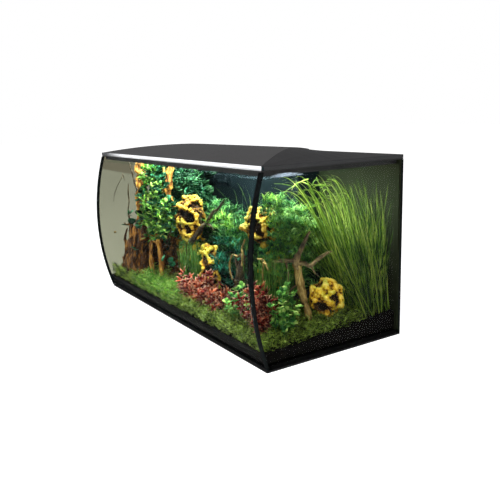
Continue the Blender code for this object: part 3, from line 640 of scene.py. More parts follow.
def make_soil():
    """The rough bed in front of and beside the filter housing, and loose grains on it."""
    def top(x, y):
        rough = noise.noise(Vector((x * 28, y * 28, 0))) * 2.2 * MM
        fine = noise.noise(Vector((x * 260, y * 260, 3))) * 0.7 * MM
        return float(soil_height(y)) + rough + fine

    edit = height_block(-INNER_X + GAP, HOUSING_HIGH.x + 0.6 * MM, 230, HOUSING_LOW.y - GAP, 90, top,
                        SOIL_LOW.z)
    right = mesh_from(height_block(HOUSING_HIGH.x + 0.7 * MM, INNER_X - GAP, 110,
                                   INNER_BACK - 1.0 * MM, 120, top, SOIL_LOW.z), "soil_right")
    edit.from_mesh(right)
    bpy.data.meshes.remove(right)
    bed = mesh_from(edit, "soil_bed")
    bed.shade_smooth()
    finish_piece("soil_bed", bed, "soil", "soil", "substrate_bed")
    rng = np.random.default_rng(3)
    n = 5200
    x = rng.uniform(-INNER_X + 0.003, INNER_X - 0.003, n)
    y = rng.uniform(front_arc(GLASS, SOIL_FRONT) + 0.003, INNER_BACK - 0.003, n)
    keep = (x > HOUSING_HIGH.x + 0.003) | (y < HOUSING_LOW.y - 0.003)
    x, y = x[keep], y[keep]
    n = len(x)
    size = rng.uniform(0.7, 1.7, n) * MM
    turn = rng.uniform(0, 6.28, n)
    ring = np.array([[math.cos(a), math.sin(a), 0] for a in (0, 1.25, 2.5, 3.8, 5.0)])
    shape = np.vstack([[(0, 0, -0.8)], ring, [(0, 0, 0.8)]])
    cos, sin = np.cos(turn)[:, None], np.sin(turn)[:, None]
    px = shape[None, :, 0] * cos - shape[None, :, 1] * sin
    py = shape[None, :, 0] * sin + shape[None, :, 1] * cos
    points = np.stack([px, py, np.broadcast_to(shape[None, :, 2], px.shape)], 2) * size[:, None, None]
    place = rooted(x, y, 1.0 * MM)
    pile = Pile()
    pile.add(points + place[:, None], tube_faces(1, 5), np.array(0.5))
    pile.piece("soil_grains", "soil", slot="soil", smooth=False)


def add_wood(name, material, rings, sides, rough, seed, limbs, *replaces, step=1.3):
    """A piece of wood; each limb is a row of (x, y, z, radius) stations in millimetres."""
    pile = Pile()
    for i, stations in enumerate(limbs):
        add_limb(pile, np.array(stations) * MM, rings, sides, rough, seed + i * step)
    pile.piece(name, material, *replaces, slot="driftwood")


def make_wood():
    """Bog wood: the tall left root, golden trunks, dark branches and the fork on the right."""
    bed = float(soil_height(-0.1)) / MM - 2
    add_wood("bog_wood_left", "wood_red", 60, 18, 0.5, 0, [
        [(-300, -108, bed, 26), (-303, -106, 85, 24), (-304, -105, 135, 19), (-299, -104, 190, 12),
         (-296, -104, 235, 11)],
        [(-386, -142, 40, 5), (-362, -142, 58, 10), (-336, -138, 82, 13), (-314, -130, 115, 12),
         (-300, -120, 155, 10), (-312, -112, 195, 6)],
        [(-236, -144, 42, 5), (-258, -142, 58, 10), (-284, -142, 84, 11), (-308, -136, 112, 10),
         (-330, -126, 142, 9), (-342, -118, 176, 6), (-352, -114, 196, 4)],
        [(-318, -152, 40, 8), (-306, -150, 66, 9), (-288, -142, 100, 9), (-270, -128, 138, 8),
         (-272, -112, 185, 7), (-286, -106, 220, 6)],
        [(-352, -138, 60, 9), (-354, -136, 95, 10), (-342, -130, 130, 9), (-322, -118, 170, 8),
         (-304, -108, 212, 7)],
        [(-256, -126, bed, 12), (-262, -122, 90, 10), (-278, -118, 130, 9), (-296, -110, 170, 8)],
        [(-330, -128, 145, 6), (-350, -120, 172, 4.5), (-362, -116, 198, 3), (-374, -112, 214, 1.5)],
        [(-362, -116, 190, 3), (-374, -122, 186, 2), (-384, -124, 192, 1)],
        [(-352, -134, 120, 5), (-362, -134, 150, 3.5), (-350, -130, 180, 2)],
        [(-290, -112, 130, 12), (-262, -118, 165, 8), (-236, -112, 178, 4)],
        [(-260, -20, bed, 34), (-250, -15, 100, 34), (-235, -10, 160, 28), (-220, -10, 215, 14)],
        [(-175, -15, bed, 36), (-170, -12, 100, 34), (-165, -10, 160, 26), (-170, -10, 205, 12)],
        [(-345, -50, bed, 34), (-335, -45, 90, 34), (-320, -45, 140, 22), (-312, -50, 170, 12)],
    ], "driftwood_left", step=1.7)
    add_wood("bog_wood_golden", "wood_gold", 50, 12, 0.55, 20, [
        [(-298, -104, 215, 10), (-291, -104, 250, 13), (-287, -103, 300, 15), (-285, -102, 335, 13),
         (-284, -104, 372, 12)],
        [(-276, -108, 262, 4), (-268, -106, 295, 8), (-262, -104, 325, 7), (-266, -102, 352, 4)],
        [(-205, -104, 200, 5), (-198, -102, 168, 6), (-192, -100, 115, 6), (-188, -102, 75, 6),
         (-182, -104, bed, 6)],
        [(-236, -92, 180, 6), (-228, -80, 215, 7), (-214, -70, 250, 8), (-208, -64, 290, 9),
         (-194, -60, 320, 9), (-190, -58, 350, 8), (-182, -56, 370, 6)],
        [(-222, -74, 245, 5), (-224, -68, 285, 6), (-216, -64, 325, 5), (-222, -62, 358, 3)],
        [(-204, -60, 280, 8), (-184, -62, 262, 7), (-166, -60, 236, 6), (-154, -60, 206, 4)],
        [(-226, -108, 176, 4), (-236, -110, 120, 5), (-230, -110, 60, 6), (-228, -110, bed, 6)],
        [(-316, -138, 80, 3.5), (-312, -134, 115, 4), (-302, -124, 155, 3)],
        [(-270, -136, 70, 3), (-272, -130, 110, 3.5), (-280, -120, 150, 3)],
    ])
    add_wood("bog_wood_dark", "wood_dark", 36, 10, 0.6, 40, [
        [(-43, -82, 180, 7), (-12, -86, 196, 6), (20, -82, 228, 5.5), (50, -86, 238, 4.5),
         (82, -84, 270, 4), (108, -86, 280, 3), (136, -82, 306, 1.8)],
        [(40, -84, 236, 3), (74, -90, 240, 2), (96, -92, 232, 1)],
        [(18, -82, 226, 3), (26, -88, 252, 2), (44, -90, 270, 1)],
        [(190, -88, bed, 12), (190, -86, 90, 11), (193, -84, 135, 9), (204, -80, 186, 6)],
        [(210, -84, bed, 7), (206, -84, 100, 7), (190, -86, 150, 5), (182, -88, 186, 3)],
        [(174, -90, bed, 6), (178, -90, 100, 5), (190, -88, 140, 5)],
        [(-374, -100, 370, 1.8), (-352, -100, 335, 2), (-340, -100, 306, 2.2), (-322, -101, 284, 2),
         (-312, -102, 262, 1.5)],
        [(-386, -102, 306, 1.2), (-392, -102, 272, 1.8), (-385, -104, 252, 1.6), (-390, -108, 222, 1.4),
         (-376, -110, 196, 1.2)],
        [(-400, -96, 262, 1), (-392, -102, 268, 1.4), (-384, -104, 280, 1)],
        [(-401.8, -111, 332, 0.5), (-401.8, -118, 318, 0.8), (-401.8, -130, 300, 0.8),
         (-401.8, -141, 276, 0.8), (-401.8, -145, 256, 0.4)],
        [(-401.8, -112, 336, 0.6), (-401.8, -108, 324, 1.2), (-401.8, -106, 314, 0.5)],
        [(-150, -98, 165, 3), (-128, -102, 186, 2.6), (-108, -104, 205, 1.6)],
        [(-165, -100, 150, 3), (-140, -104, 160, 2.2), (-116, -104, 158, 1.4)],
    ])
    add_wood("ochre_twigs", "wood_ochre", 30, 8, 0.4, 50, [
        [(206, -86, 165, 2.4), (214, -88, 192, 2.4), (212, -88, 206, 2), (222, -86, 226, 1.4)],
        [(212, -88, 196, 2.2), (196, -90, 184, 2.2), (180, -92, 186, 1.8), (166, -92, 172, 1.8),
         (166, -94, 150, 1.6), (176, -94, 128, 1.2)],
        [(262, -80, 190, 2), (292, -86, 192, 2), (312, -88, 176, 1.4)],
        [(298, -90, 190, 1.8), (296, -92, 160, 1.6), (302, -92, 130, 1.2)],
    ])
    bed = float(soil_height(0.024)) / MM - 2
    add_wood("fork_trunk", "wood_ochre", 44, 14, 0.45, 60, [
        [(344, -4, bed, 7.6), (334, -4, 74, 7.2), (322, -5, 98, 8), (313, -7, 135, 9.2),
         (309, -12, 178, 10)],
    ], "driftwood_fork")
    add_wood("fork_branches", "wood_fork", 36, 10, 0.5, 70, [
        [(314, -6, 150, 4), (311, -12, 172, 8.5), (318, -18, 192, 7), (336, -20, 214, 4.8),
         (343, -12, 238, 3.4), (350, -8, 252, 1.8)],
        [(310, -14, 178, 6.5), (316, -28, 187, 4.8), (296, -42, 185, 4.2), (278, -50, 181, 3.4),
         (277, -50, 168, 2.6), (280, -48, 152, 1.4)],
        [(312, -10, 178, 5.5), (334, -10, 181, 4.2), (352, -8, 180, 4), (359, 8, 195, 4),
         (366, 24, 204, 3), (370, 34, 207, 1.6)],
        [(316, -4, 135, 2.8), (302, -22, 120, 1.8), (298, -32, 92, 1.2)],
        [(304, -36, 184, 2.2), (302, -30, 150, 1.6), (302, -36, 112, 1)],
        [(352, -8, 180, 2), (356, -2, 166, 1.6), (360, 6, 156, 1)],
    ])


def make_stone(name, centre, half, seed, *nodes, count=36, strut=4.2, core=0.6):
    """Lace rock: a net of lumpy struts round open hollows, joined to a core that painted shade darkens;
    in millimetres.
    """
    rng = np.random.default_rng(seed)
    centre, half = np.array(centre) * MM, np.array(half) * MM
    way = unit(rng.normal(size=(count, 3)))
    for _ in range(14):
        gap = way[:, None] - way[None]
        way = unit(way + 0.012 * (gap / ((gap ** 2).sum(2, keepdims=True) + 0.03)).sum(1))
    knots = way * rng.uniform(0.7, 0.98, (count, 1)) * half
    far = np.linalg.norm(knots[:, None] - knots[None], axis=2)
    pairs = {tuple(sorted((i, int(j)))) for i in range(count) for j in np.argsort(far[i])[1:4]}
    edit = bmesh.new()

    def ball(place, radius):
        bmesh.ops.create_icosphere(edit, subdivisions=1, radius=radius,
                                   matrix=Matrix.Translation(Vector(place)))

    for i, j in sorted(pairs):
        steps = int(far[i, j] / (3 * MM)) + 2
        bulge = 1 + 0.1 * rng.uniform(0, 1)
        for t in np.linspace(0, 1, steps):
            place = (knots[i] * (1 - t) + knots[j] * t) * (1 + (bulge - 1) * 4 * t * (1 - t))
            place = place + rng.normal(size=3) * 0.9 * MM
            ball(place, strut * MM * rng.uniform(0.55, 1.25))
    for knot in knots:
        ball(knot, strut * MM * rng.uniform(1.2, 1.9))
    bmesh.ops.create_icosphere(edit, subdivisions=3, radius=1.0,
                               matrix=Matrix.Diagonal(Vector((*(half * core), 1))))
    helper = link(name + "_rough", mesh_from(edit, name + "_rough"))
    remesh = helper.modifiers.new("remesh", "REMESH")
    remesh.mode = "VOXEL"
    remesh.voxel_size = 1.4 * MM
    graph = bpy.context.evaluated_depsgraph_get()
    mesh = bpy.data.meshes.new_from_object(helper.evaluated_get(graph))
    mesh.name = name
    bpy.data.objects.remove(helper)

    spots = np.empty(len(mesh.vertices) * 3, np.float32)
    mesh.vertices.foreach_get("co", spots)
    spots = spots.reshape(-1, 3)
    normals = np.array([tuple(n.vector) for n in mesh.vertex_normals])
    fine = np.array([noise.fractal(Vector(v) / (5 * MM), 0.9, 2.1, 4) for v in spots])
    lump = np.array([noise.noise(Vector(v) / (22 * MM) + Vector((seed, 0, 0))) for v in spots])
    spots = spots + normals * (fine * 1.7 * MM)[:, None] + unit(spots) * (lump * 7 * MM)[:, None]
    ratio = np.linalg.norm(spots / half, axis=1)
    # Painted light in the tone: it falls towards the inside of the rock, painting shade into the hollows
    # and the core, and rises on faces turned upwards, as if lit from above.
    tone = smoothstep(ratio, 0.66, 1.04) * 0.86 + 0.16 * normals[:, 2] + fine * 0.16
    spots = spots + centre
    foot = float(soil_height(centre[1] + half[1])) - 1 * MM
    spots[:, 2] = np.maximum(spots[:, 2], foot)
    mesh.vertices.foreach_set("co", spots.astype(np.float32).ravel())
    mesh.update()
    mesh.shade_smooth()
    mesh.materials.clear()
    layer = mesh.attributes.new("tone", "FLOAT", "POINT")
    layer.data.foreach_set("value", np.clip(tone, 0, 1).astype(np.float32))
    finish_piece(name, mesh, "stone", "stone", *nodes)


def make_stones():
    """Three big rocks, the arch on the right, and two feet that carry the high ones."""
    make_stone("lace_rock_left", (-100, -50, 230), (57, 41, 62), 18, "rock_left", count=58, strut=4.6,
               core=0.74)
    make_stone("lace_rock_left_foot", (-110, -22, 110), (34, 24, 70), 26)
    make_stone("lace_rock_mid", (42, -76, 122), (32, 24, 76), 41, "rock_mid", count=44, strut=3.8,
               core=0.78)
    make_stone("lace_rock_right", (224, -40, 252), (52, 38, 44), 77, "rock_right", count=54, strut=4.6,
               core=0.76)
    make_stone("lace_rock_right_foot", (214, -16, 120), (32, 22, 80), 83)
    make_stone("lace_rock_arch", (334, 48, 96), (36, 42, 45), 92, "rock_arch", count=46, strut=4.8,
               core=0.8)


def carpet_spots(rng, n, x_range, reach):
    """Places on the bed near the front glass, thinning out towards the back."""
    x = rng.uniform(*x_range, n)
    front = front_arc(GLASS, SOIL_FRONT) + 0.003
    y = front + rng.uniform(0, 1, n) ** 1.25 * reach
    keep = (x > HOUSING_HIGH.x + 0.01) | (y < HOUSING_LOW.y - 0.006)
    return x[keep], y[keep]


def add_fluff(pile, rng, x, y, layer, length, width):
    """Short blades in every direction, through a lumpy layer above the soil."""
    n = len(x)
    wave = 1 + 0.4 * np.sin(x * 75 + 20 * y) * np.cos(y * 90) + 0.3 * np.sin(x * 190 + y * 120)
    rise = rng.uniform(0, 1, n) ** 0.8 * layer * wave
    feet = rooted(x, y, rise - 2 * MM)
    heading = rng.normal(size=(n, 3)) * [1, 1, 0.7] + [0, 0, 0.75]
    size = length * rng.uniform(0.6, 1.3, n)[:, None]
    tips = feet + unit(heading) * size
    tips[:, 0] = np.clip(tips[:, 0], -INNER_X + 0.002, INNER_X - 0.002)
    pane = np.array([front_arc(GLASS, z) for z in np.clip(tips[:, 2], 0.03, 0.14)]) + 0.0015
    tips[:, 1] = np.maximum(tips[:, 1], pane)
    feet[:, 1] = np.maximum(feet[:, 1], pane)
    middles = (feet + tips) / 2 + rng.normal(size=(n, 3)) * 2 * MM
    add_blades(pile, feet, middles, tips, width * rng.uniform(0.6, 1.4, n), np.roll(heading, 1, 1),
               rings=2)


def make_carpet():
    """A low fluffy carpet over the front and right of the bed, with a bright patch."""
    rng = np.random.default_rng(11)
    for name, x_range, reach, n, layer in (
            ("carpet_left", (-INNER_X + 0.004, -0.02), 0.105, 8500, 0.026),
            ("carpet_middle", (-0.03, 0.26), 0.1, 7500, 0.028),
            ("carpet_right", (0.24, INNER_X - 0.003), 0.27, 9000, 0.022)):
        pile = Pile()
        x, y = carpet_spots(rng, n, x_range, reach)
        add_fluff(pile, rng, x, y, layer, 0.013, 2.0 * MM)
        pile.piece(name, "carpet")
    pile = Pile()
    for sx, sy, spread in ((-0.2, -0.14, 0.05), (-0.13, -0.142, 0.05), (-0.07, -0.142, 0.05),
                           (-0.01, -0.145, 0.04)):
        n = 1200
        x = sx + rng.normal(size=n) * spread * 0.6
        y = np.clip(sy + rng.normal(size=n) * 0.016, front_arc(GLASS, SOIL_FRONT) + 0.003, -0.09)
        add_fluff(pile, rng, x, y, 0.032, 0.016, 1.8 * MM)
    pile.piece("bright_carpet", "bright")
    for x0, x1, y0, y1, low, high, count in ((-0.085, 0.03, -0.1, -0.06, 0.12, 0.205, 300),
                                             (0.24, 0.335, -0.095, -0.05, 0.13, 0.225, 320)):
        x = rng.uniform(x0, x1, count)
        y = rng.uniform(y0, y1, count)
        feet = rooted(x, y)
        tips = feet + np.stack([rng.normal(size=count) * 0.016, rng.normal(size=count) * 0.01,
                                rng.uniform(low, high, count) - 0.045], 1)
        middles = (feet + tips) / 2 + rng.normal(size=(count, 3)) * [0.005, 0.005, 0.002]
        side = rng.normal(size=(count, 3)) * [1, 1, 0.1]
        add_blades(pile, feet, middles, tips, 1.8 * MM, side, rings=6)
    pile.piece("fine_tufts", "tuft")


def add_ribbons(pile, rng, n, x_range, y_range, width, lean_scale=1.0, rings=9, length=(0.16, 0.3)):
    """Long blades rooted in the right rear corner; those in front lean further forward."""
    x = rng.uniform(*x_range, n)
    y = rng.uniform(*y_range, n)
    feet = rooted(x, y, -1 * MM)
    front = (INNER_BACK - y) / (INNER_BACK - 0.112)
    lean = np.radians(40) * front ** 1.2 * rng.uniform(0.1, 1.2, n) * lean_scale
    lean += rng.normal(size=n) * 0.15
    length = rng.uniform(*length, n)
    tips = feet + np.stack([rng.normal(size=n) * 0.04 - 0.01, -np.sin(lean) * length,
                            np.cos(lean) * length], 1)
    tips[:, 0] = np.clip(tips[:, 0], 0.16, INNER_X - 0.003)
    tips[:, 1] = np.clip(tips[:, 1], -0.14, INNER_BACK - 0.004)
    tips[:, 2] = np.minimum(tips[:, 2], WATER_Z - 0.006)
    bow = np.stack([rng.normal(size=n) * 0.014, rng.normal(size=n) * 0.014 + 0.012,
                    rng.uniform(0.005, 0.035, n)], 1)
    middles = (feet + tips) / 2 + bow
    middles[:, 1] = np.minimum(middles[:, 1], INNER_BACK - 0.004)
    middles[:, 0] = np.minimum(middles[:, 0], INNER_X - 0.003)
    side = np.stack([rng.normal(size=n), rng.normal(size=n) + 0.6, np.zeros(n)], 1)
    add_blades(pile, feet, middles, tips, width * rng.uniform(0.7, 1.3, n), side, rings=rings)


def make_tall_grass():
    """Long ribbons in the right rear corner, combed towards the front at the surface."""
    rng = np.random.default_rng(21)
    pile = Pile()
    add_ribbons(pile, rng, 330, (0.29, INNER_X - 0.012), (0.112, 0.184), 2.0 * MM)
    add_ribbons(pile, rng, 110, (0.2, 0.31), (0.13, 0.184), 2.2 * MM, 0.6)
    pile.piece("tall_grass", "grass", "grass_back")
    add_ribbons(pile, rng, 120, (0.33, INNER_X - 0.006), (0.112, 0.184), 1.9 * MM, 0.9, 11)
    pile.piece("light_ribbons", "ribbon")
    n = 46
    x = rng.uniform(0.3, 0.385, n)
    y = rng.uniform(0.09, 0.15, n)
    feet = rooted(x, y)
    tips = np.stack([x + rng.normal(size=n) * 0.02, rng.uniform(-0.085, 0.06, n),
                     rng.uniform(0.3, 0.368, n)], 1)
    tips[:, 0] = np.clip(tips[:, 0], 0.2, INNER_X - 0.004)
    middles = np.stack([tips[:, 0], tips[:, 1] + rng.uniform(0.02, 0.09, n),
                        np.full(n, 0.41) - rng.uniform(0, 0.08, n)], 1)
    side = np.stack([np.ones(n) * 0.6, rng.normal(size=n) * 0.5, np.ones(n) * 0.4], 1)
    add_blades(pile, feet, middles, tips, rng.uniform(1.8, 2.8, n) * MM, side, rings=14)
    n = 26
    feet = scatter(rng, n, (0.31, 0.39), (-0.03, 0.09), (0.3, 0.36))
    swing = rng.uniform(0, 6.28, n)
    tips = feet + np.stack([np.cos(swing) * 0.02, np.sin(swing) * 0.05, rng.uniform(-0.02, 0.01, n)], 1)
    tips[:, 0] = np.clip(tips[:, 0], 0.2, INNER_X - 0.004)
    tips[:, 2] = np.minimum(tips[:, 2], WATER_Z - 0.003)
    middles = (feet + tips) / 2 + np.stack([np.zeros(n), rng.normal(size=n) * 0.02,
                                            rng.uniform(0.0, 0.03, n)], 1)
    middles[:, 2] = np.minimum(middles[:, 2], WATER_Z - 0.002)
    add_blades(pile, feet, middles, tips, 1.8 * MM, rng.normal(size=(n, 3)), rings=9)
    pile.piece("surface_ribbons", "ribbon")


def make_left_foliage():
    """Broad leaves on the left wood, and a deep wall of leaves behind it."""
    rng = np.random.default_rng(31)
    spots = np.array([(-228, -104, 345, 22), (-210, -100, 305, 28), (-205, -108, 262, 30),
                      (-180, -110, 225, 32), (-225, -114, 225, 26), (-150, -98, 250, 22),
                      (-145, -100, 205, 24), (-195, -116, 190, 22)]) * MM
    pile = Pile()
    for x, y, z, r in spots:
        add_clump(pile, rng, (x, y, z), (r * 1.1, r * 0.8, r * 1.1), 46, 0.015, 0.013, OVAL)
    pile.piece("left_foliage", "leaf_mid", "fern_left")
    for x, y, z, r in spots:
        add_clump(pile, rng, (x, y - 0.008, z), (r * 1.1, r * 0.7, r * 1.1), 16, 0.016, 0.009, LANCE,
                  up=0.7)
    pile.piece("left_sprigs", "bright")
    for x, y, z, r in spots:
        add_clump(pile, rng, (x, y + 0.018, z), (r * 1.2, r * 0.6, r * 1.2), 60, 0.017, 0.014, OVAL)
    for x, y, z, r in np.array([(-262, -118, 205, 26), (-240, -120, 275, 20), (-385, -108, 215, 7),
                                (-282, -134, 128, 10), (-136, -112, 112, 12),
                                (-350, -126, 190, 10)]) * MM:
        count = 16 if r > 0.015 else 3
        add_clump(pile, rng, (x, y, z), (r, r * 0.6, r), count, 0.02, 0.018, ROUND, up=0.5)
    pile.piece("round_leaves_left", "leaf_dark")
    # The deep wall uses leaf_deep, whose near-black greens are painted shade.
    for i in range(110):
        x = -0.375 + 0.34 * ((i * 0.618) % 1)
        y = rng.uniform(-0.04 if x < -0.24 else -0.012, 0.07)
        z = 0.06 + 0.29 * ((i * 0.755) % 1)
        upper_right = z > 0.24 and x + 1.5682 * y > -0.12273
        if upper_right:
            continue
        add_clump(pile, rng, (x, y, z), (0.032, 0.02, 0.034), 46, 0.026, 0.022, OVAL)
    pile.piece("deep_foliage", "leaf_deep")
    n = 40
    x = rng.uniform(-0.3, -0.105, n)
    y = rng.uniform(-0.03, 0.015, n)
    feet = rooted(x, y)
    tips = feet + np.stack([rng.normal(size=n) * 0.02, rng.normal(size=n) * 0.012 - 0.02,
                            rng.uniform(0.24, 0.315, n)], 1)
    middles = (feet + tips) / 2 + rng.normal(size=(n, 3)) * 0.012
    add_stems(pile, feet, middles, tips, 0.8 * MM)
    levels = 22
    for k in range(levels):
        t = 0.35 + 0.65 * k / (levels - 1)
        place = feet * (1 - t) ** 2 + middles * 2 * t * (1 - t) + tips * t * t
        for _ in range(3):
            heading = directions(rng, n, 0.15) * [1, 1, 0.6]
            length = rng.uniform(0.014, 0.022, n)
            add_leaves(pile, place, heading, np.tile([[0, 0, 1.0]], (n, 1)), length, 0.007, OVAL)
    pile.piece("stem_plants_back", "fern_blue", "stems_back")


def add_bushes(pile, rng, spots, tufts, blades, width, spread=0.9):
    """Rounded bushes of fine tufts; each spot is x, y, z and a radius in millimetres."""
    for x, y, z, r in np.array(spots) * MM:
        for _ in range(tufts):
            foot = np.array((x, y, z)) + rng.normal(size=3) * r * 0.55
            add_tuft(pile, rng, foot, blades, r * spread, r * spread, width,
                     lean=(0, 0, -r * 0.4), rings=4)


def make_middle_foliage():
    """Feathery moss in the middle and on the right, with teal ferns below."""
    rng = np.random.default_rng(41)
    pile = Pile()
    middle = [
        (60, -20, 240, 30), (30, -30, 222, 32), (100, -35, 232, 32), (150, -40, 240, 26),
        (85, -35, 200, 28), (130, -55, 200, 30), (165, -60, 225, 24), (175, -62, 195, 24),
        (2, -35, 262, 22), (20, -50, 250, 20)]
    add_bushes(pile, rng, middle, 9, 15, 2.2 * MM)
    pile.piece("feather_moss_mid", "moss", "moss_mass")
    # These inner and lower layers use moss_deep, a darker copy of the moss: painted shade.
    add_bushes(pile, rng, [(x, y + 30, z - 10, r * 1.1) for x, y, z, r in middle], 10, 20, 2.6 * MM)
    add_bushes(pile, rng, [(100, -30, 140, 40), (50, -20, 150, 40), (150, -40, 130, 35)],
               12, 20, 2.6 * MM)
    pile.piece("deep_moss_mid", "moss_deep")
    add_bushes(pile, rng, [
        (115, -72, 165, 28), (145, -80, 150, 28), (185, -80, 145, 22), (165, -82, 185, 24),
        (130, -75, 120, 24), (105, -66, 200, 22)], 8, 14, 2.3 * MM, 1.0)
    pile.piece("teal_fern", "teal")
    right = [
        (340, -92, 315, 22), (310, -74, 300, 26), (330, -70, 280, 26), (290, -40, 262, 28),
        (300, -50, 232, 24), (262, -10, 225, 30), (290, -24, 285, 28), (290, 6, 268, 26),
        (268, -56, 205, 22), (255, 10, 245, 30), (262, 40, 250, 28), (252, 35, 205, 30),
        (248, 62, 170, 28), (262, -10, 295, 22), (262, 66, 225, 24)]
    add_bushes(pile, rng, right, 8, 15, 2.2 * MM)
    pile.piece("feather_moss_right", "moss", "stems_right")
    # These inner and lower layers use moss_light, a lighter copy of the moss: painted light for layers
    # that the moss above shades.
    add_bushes(pile, rng, [(x - 12, y + 30, z - 20, r * 1.1) for x, y, z, r in right], 10, 20, 2.6 * MM)
    add_bushes(pile, rng, [(270, 30, 120, 35), (250, 60, 200, 40), (250, 50, 130, 40),
                           (280, -30, 150, 30), (250, 20, 100, 35)], 12, 20, 2.6 * MM)
    pile.piece("deep_moss_right", "moss_light")
    # Partly painted light: many of these light-green sprigs sit under the right moss and stand in for
    # light that the moss above shades off.
    add_bushes(pile, rng, [
        (350, -98, 322, 18), (325, -86, 312, 16), (318, -60, 262, 22), (290, -20, 240, 24),
        (284, -36, 212, 22), (286, 6, 232, 24), (300, 6, 268, 22), (276, 40, 232, 22),
        (270, 56, 200, 20), (276, -10, 200, 20), (240, -24, 185, 24), (262, -18, 168, 22),
        (228, -40, 165, 22), (252, -42, 215, 22), (274, -36, 240, 20), (285, -60, 255, 20),
        (80, -64, 245, 22), (130, -70, 235, 22), (45, -64, 235, 18)], 5, 11, 2.0 * MM, 1.3)
    pile.piece("bright_sprigs", "bright")
    n = 26
    feet = scatter(rng, n, (0.08, 0.24), (-0.07, 0.0), (0.22, 0.28))
    tips = feet + np.stack([rng.normal(size=n) * 0.06 + 0.02, rng.normal(size=n) * 0.02 - 0.02,
                            rng.uniform(0.03, 0.1, n)], 1)
    tips[:, 2] = np.minimum(tips[:, 2], WATER_Z - 0.008)
    middles = (feet + tips) / 2 + rng.normal(size=(n, 3)) * 0.014
    side = rng.normal(size=(n, 3))
    add_blades(pile, feet, middles, tips, 1.6 * MM, side, rings=7)
    pile.piece("loose_ribbons", "grass")


def add_whorls(pile, rng, feet_area, top, count, leaves, length, width, widths, tilt, levels=3):
    """Short stems with whorls of leaves; each stem leans its own way."""
    x0, y0, sx, sy = feet_area
    for _ in range(count):
        fx = x0 + rng.uniform(-1, 1) * sx
        fy = y0 + rng.uniform(-1, 1) * sy
        dome = 1 - 0.35 * ((fx - x0) / sx) ** 2
        base = float(soil_height(fy))
        foot = np.array([[fx, fy, base]])
        tall = (top - base) * dome * rng.uniform(0.4, 1.0)
        tip = foot + [[rng.normal() * 0.012, rng.normal() * 0.01, tall]]
        add_stems(pile, foot, (foot + tip) / 2 + [[0, 0, 0.004]], tip, 0.8 * MM)
        for level in range(levels):
            place = foot + (tip - foot) * (0.55 + 0.45 * level / (levels - 1))
            angle = rng.uniform(0, 6.28) + np.arange(leaves) * 2 * math.pi / leaves
            axis = unit(np.array([rng.normal() * tilt, rng.normal() * tilt - 0.25, 1.0]))
            side = unit(np.cross(axis, [0.3, 1.0, 0.2]))
            other = np.cross(axis, side)
            rise = rng.uniform(0.35, 0.9) + 0.08 * level
            heading = (np.cos(angle)[:, None] * side + np.sin(angle)[:, None] * other + rise * axis)
            add_leaves(pile, np.repeat(place, leaves, 0), heading, np.tile(axis, (leaves, 1)),
                       length * rng.uniform(0.75, 1.25, leaves), width, widths, droop=0.15)


def make_red_plants():
    """Red stem plants in front of the moss and in the right front corner."""
    rng = np.random.default_rng(51)
    pile = Pile()
    for area, top, count in (((0.034, -0.124, 0.034, 0.02), 0.108, 20),
                             ((0.098, -0.122, 0.046, 0.022), 0.132, 32),
                             ((0.166, -0.124, 0.034, 0.02), 0.112, 18),
                             ((0.3, -0.108, 0.034, 0.022), 0.15, 22),
                             ((0.33, -0.122, 0.024, 0.014), 0.15, 12)):
        add_whorls(pile, rng, area, top, count, 6, 0.018, 0.0075, LANCE, 0.6)
    pile.piece("red_stem_plants", "red", "red_stems_left", "red_stems_right", slot="leaf_red")


def make_round_plants():
    """Round-leaved plants round the red ones on the right."""
    rng = np.random.default_rng(61)
    pile = Pile()
    for area, top, count in (((0.25, -0.12, 0.028, 0.014), 0.15, 18),
                             ((0.366, -0.09, 0.016, 0.016), 0.146, 11),
                             ((0.34, -0.07, 0.02, 0.018), 0.15, 11)):
        add_whorls(pile, rng, area, top, count, 4, 0.011, 0.0105, ROUND, 0.5)
    pile.piece("penny_plants", "penny", "round_leaf_front")


# ---- water, filter media and hood details --------------------------------------------
def make_water():
    def wave(x, y):
        return WATER_Z + noise.noise(Vector((x * 18, y * 18, 1))) * 0.5 * MM

    mesh = mesh_from(height_block(-INNER_X + GAP, INNER_X - GAP, 120, HOUSING_LOW.y - 0.5 * MM, 50,
                                  wave, WATER_Z - 1.2 * MM), "water_surface")
    mesh.shade_smooth()
    finish_piece("water_surface", mesh, "water", "glass")


def loft(edit, sections):
    """A closed solid through sections that are rings of points."""
    rows = [[edit.verts.new(spot) for spot in section] for section in sections]
    for low, high in zip(rows, rows[1:]):
        for k in range(len(low)):
            n = (k + 1) % len(low)
            edit.faces.new((low[k], low[n], high[n], high[k]))
    edit.faces.new(rows[0][::-1])
    edit.faces.new(rows[-1])


def add_post(edit, levels):
    """A closed post through rectangles (x0, x1, y0, y1, z), from the bottom up."""
    loft(edit, [((x0, y0, z), (x1, y0, z), (x1, y1, z), (x0, y1, z)) for x0, x1, y0, y1, z in levels])


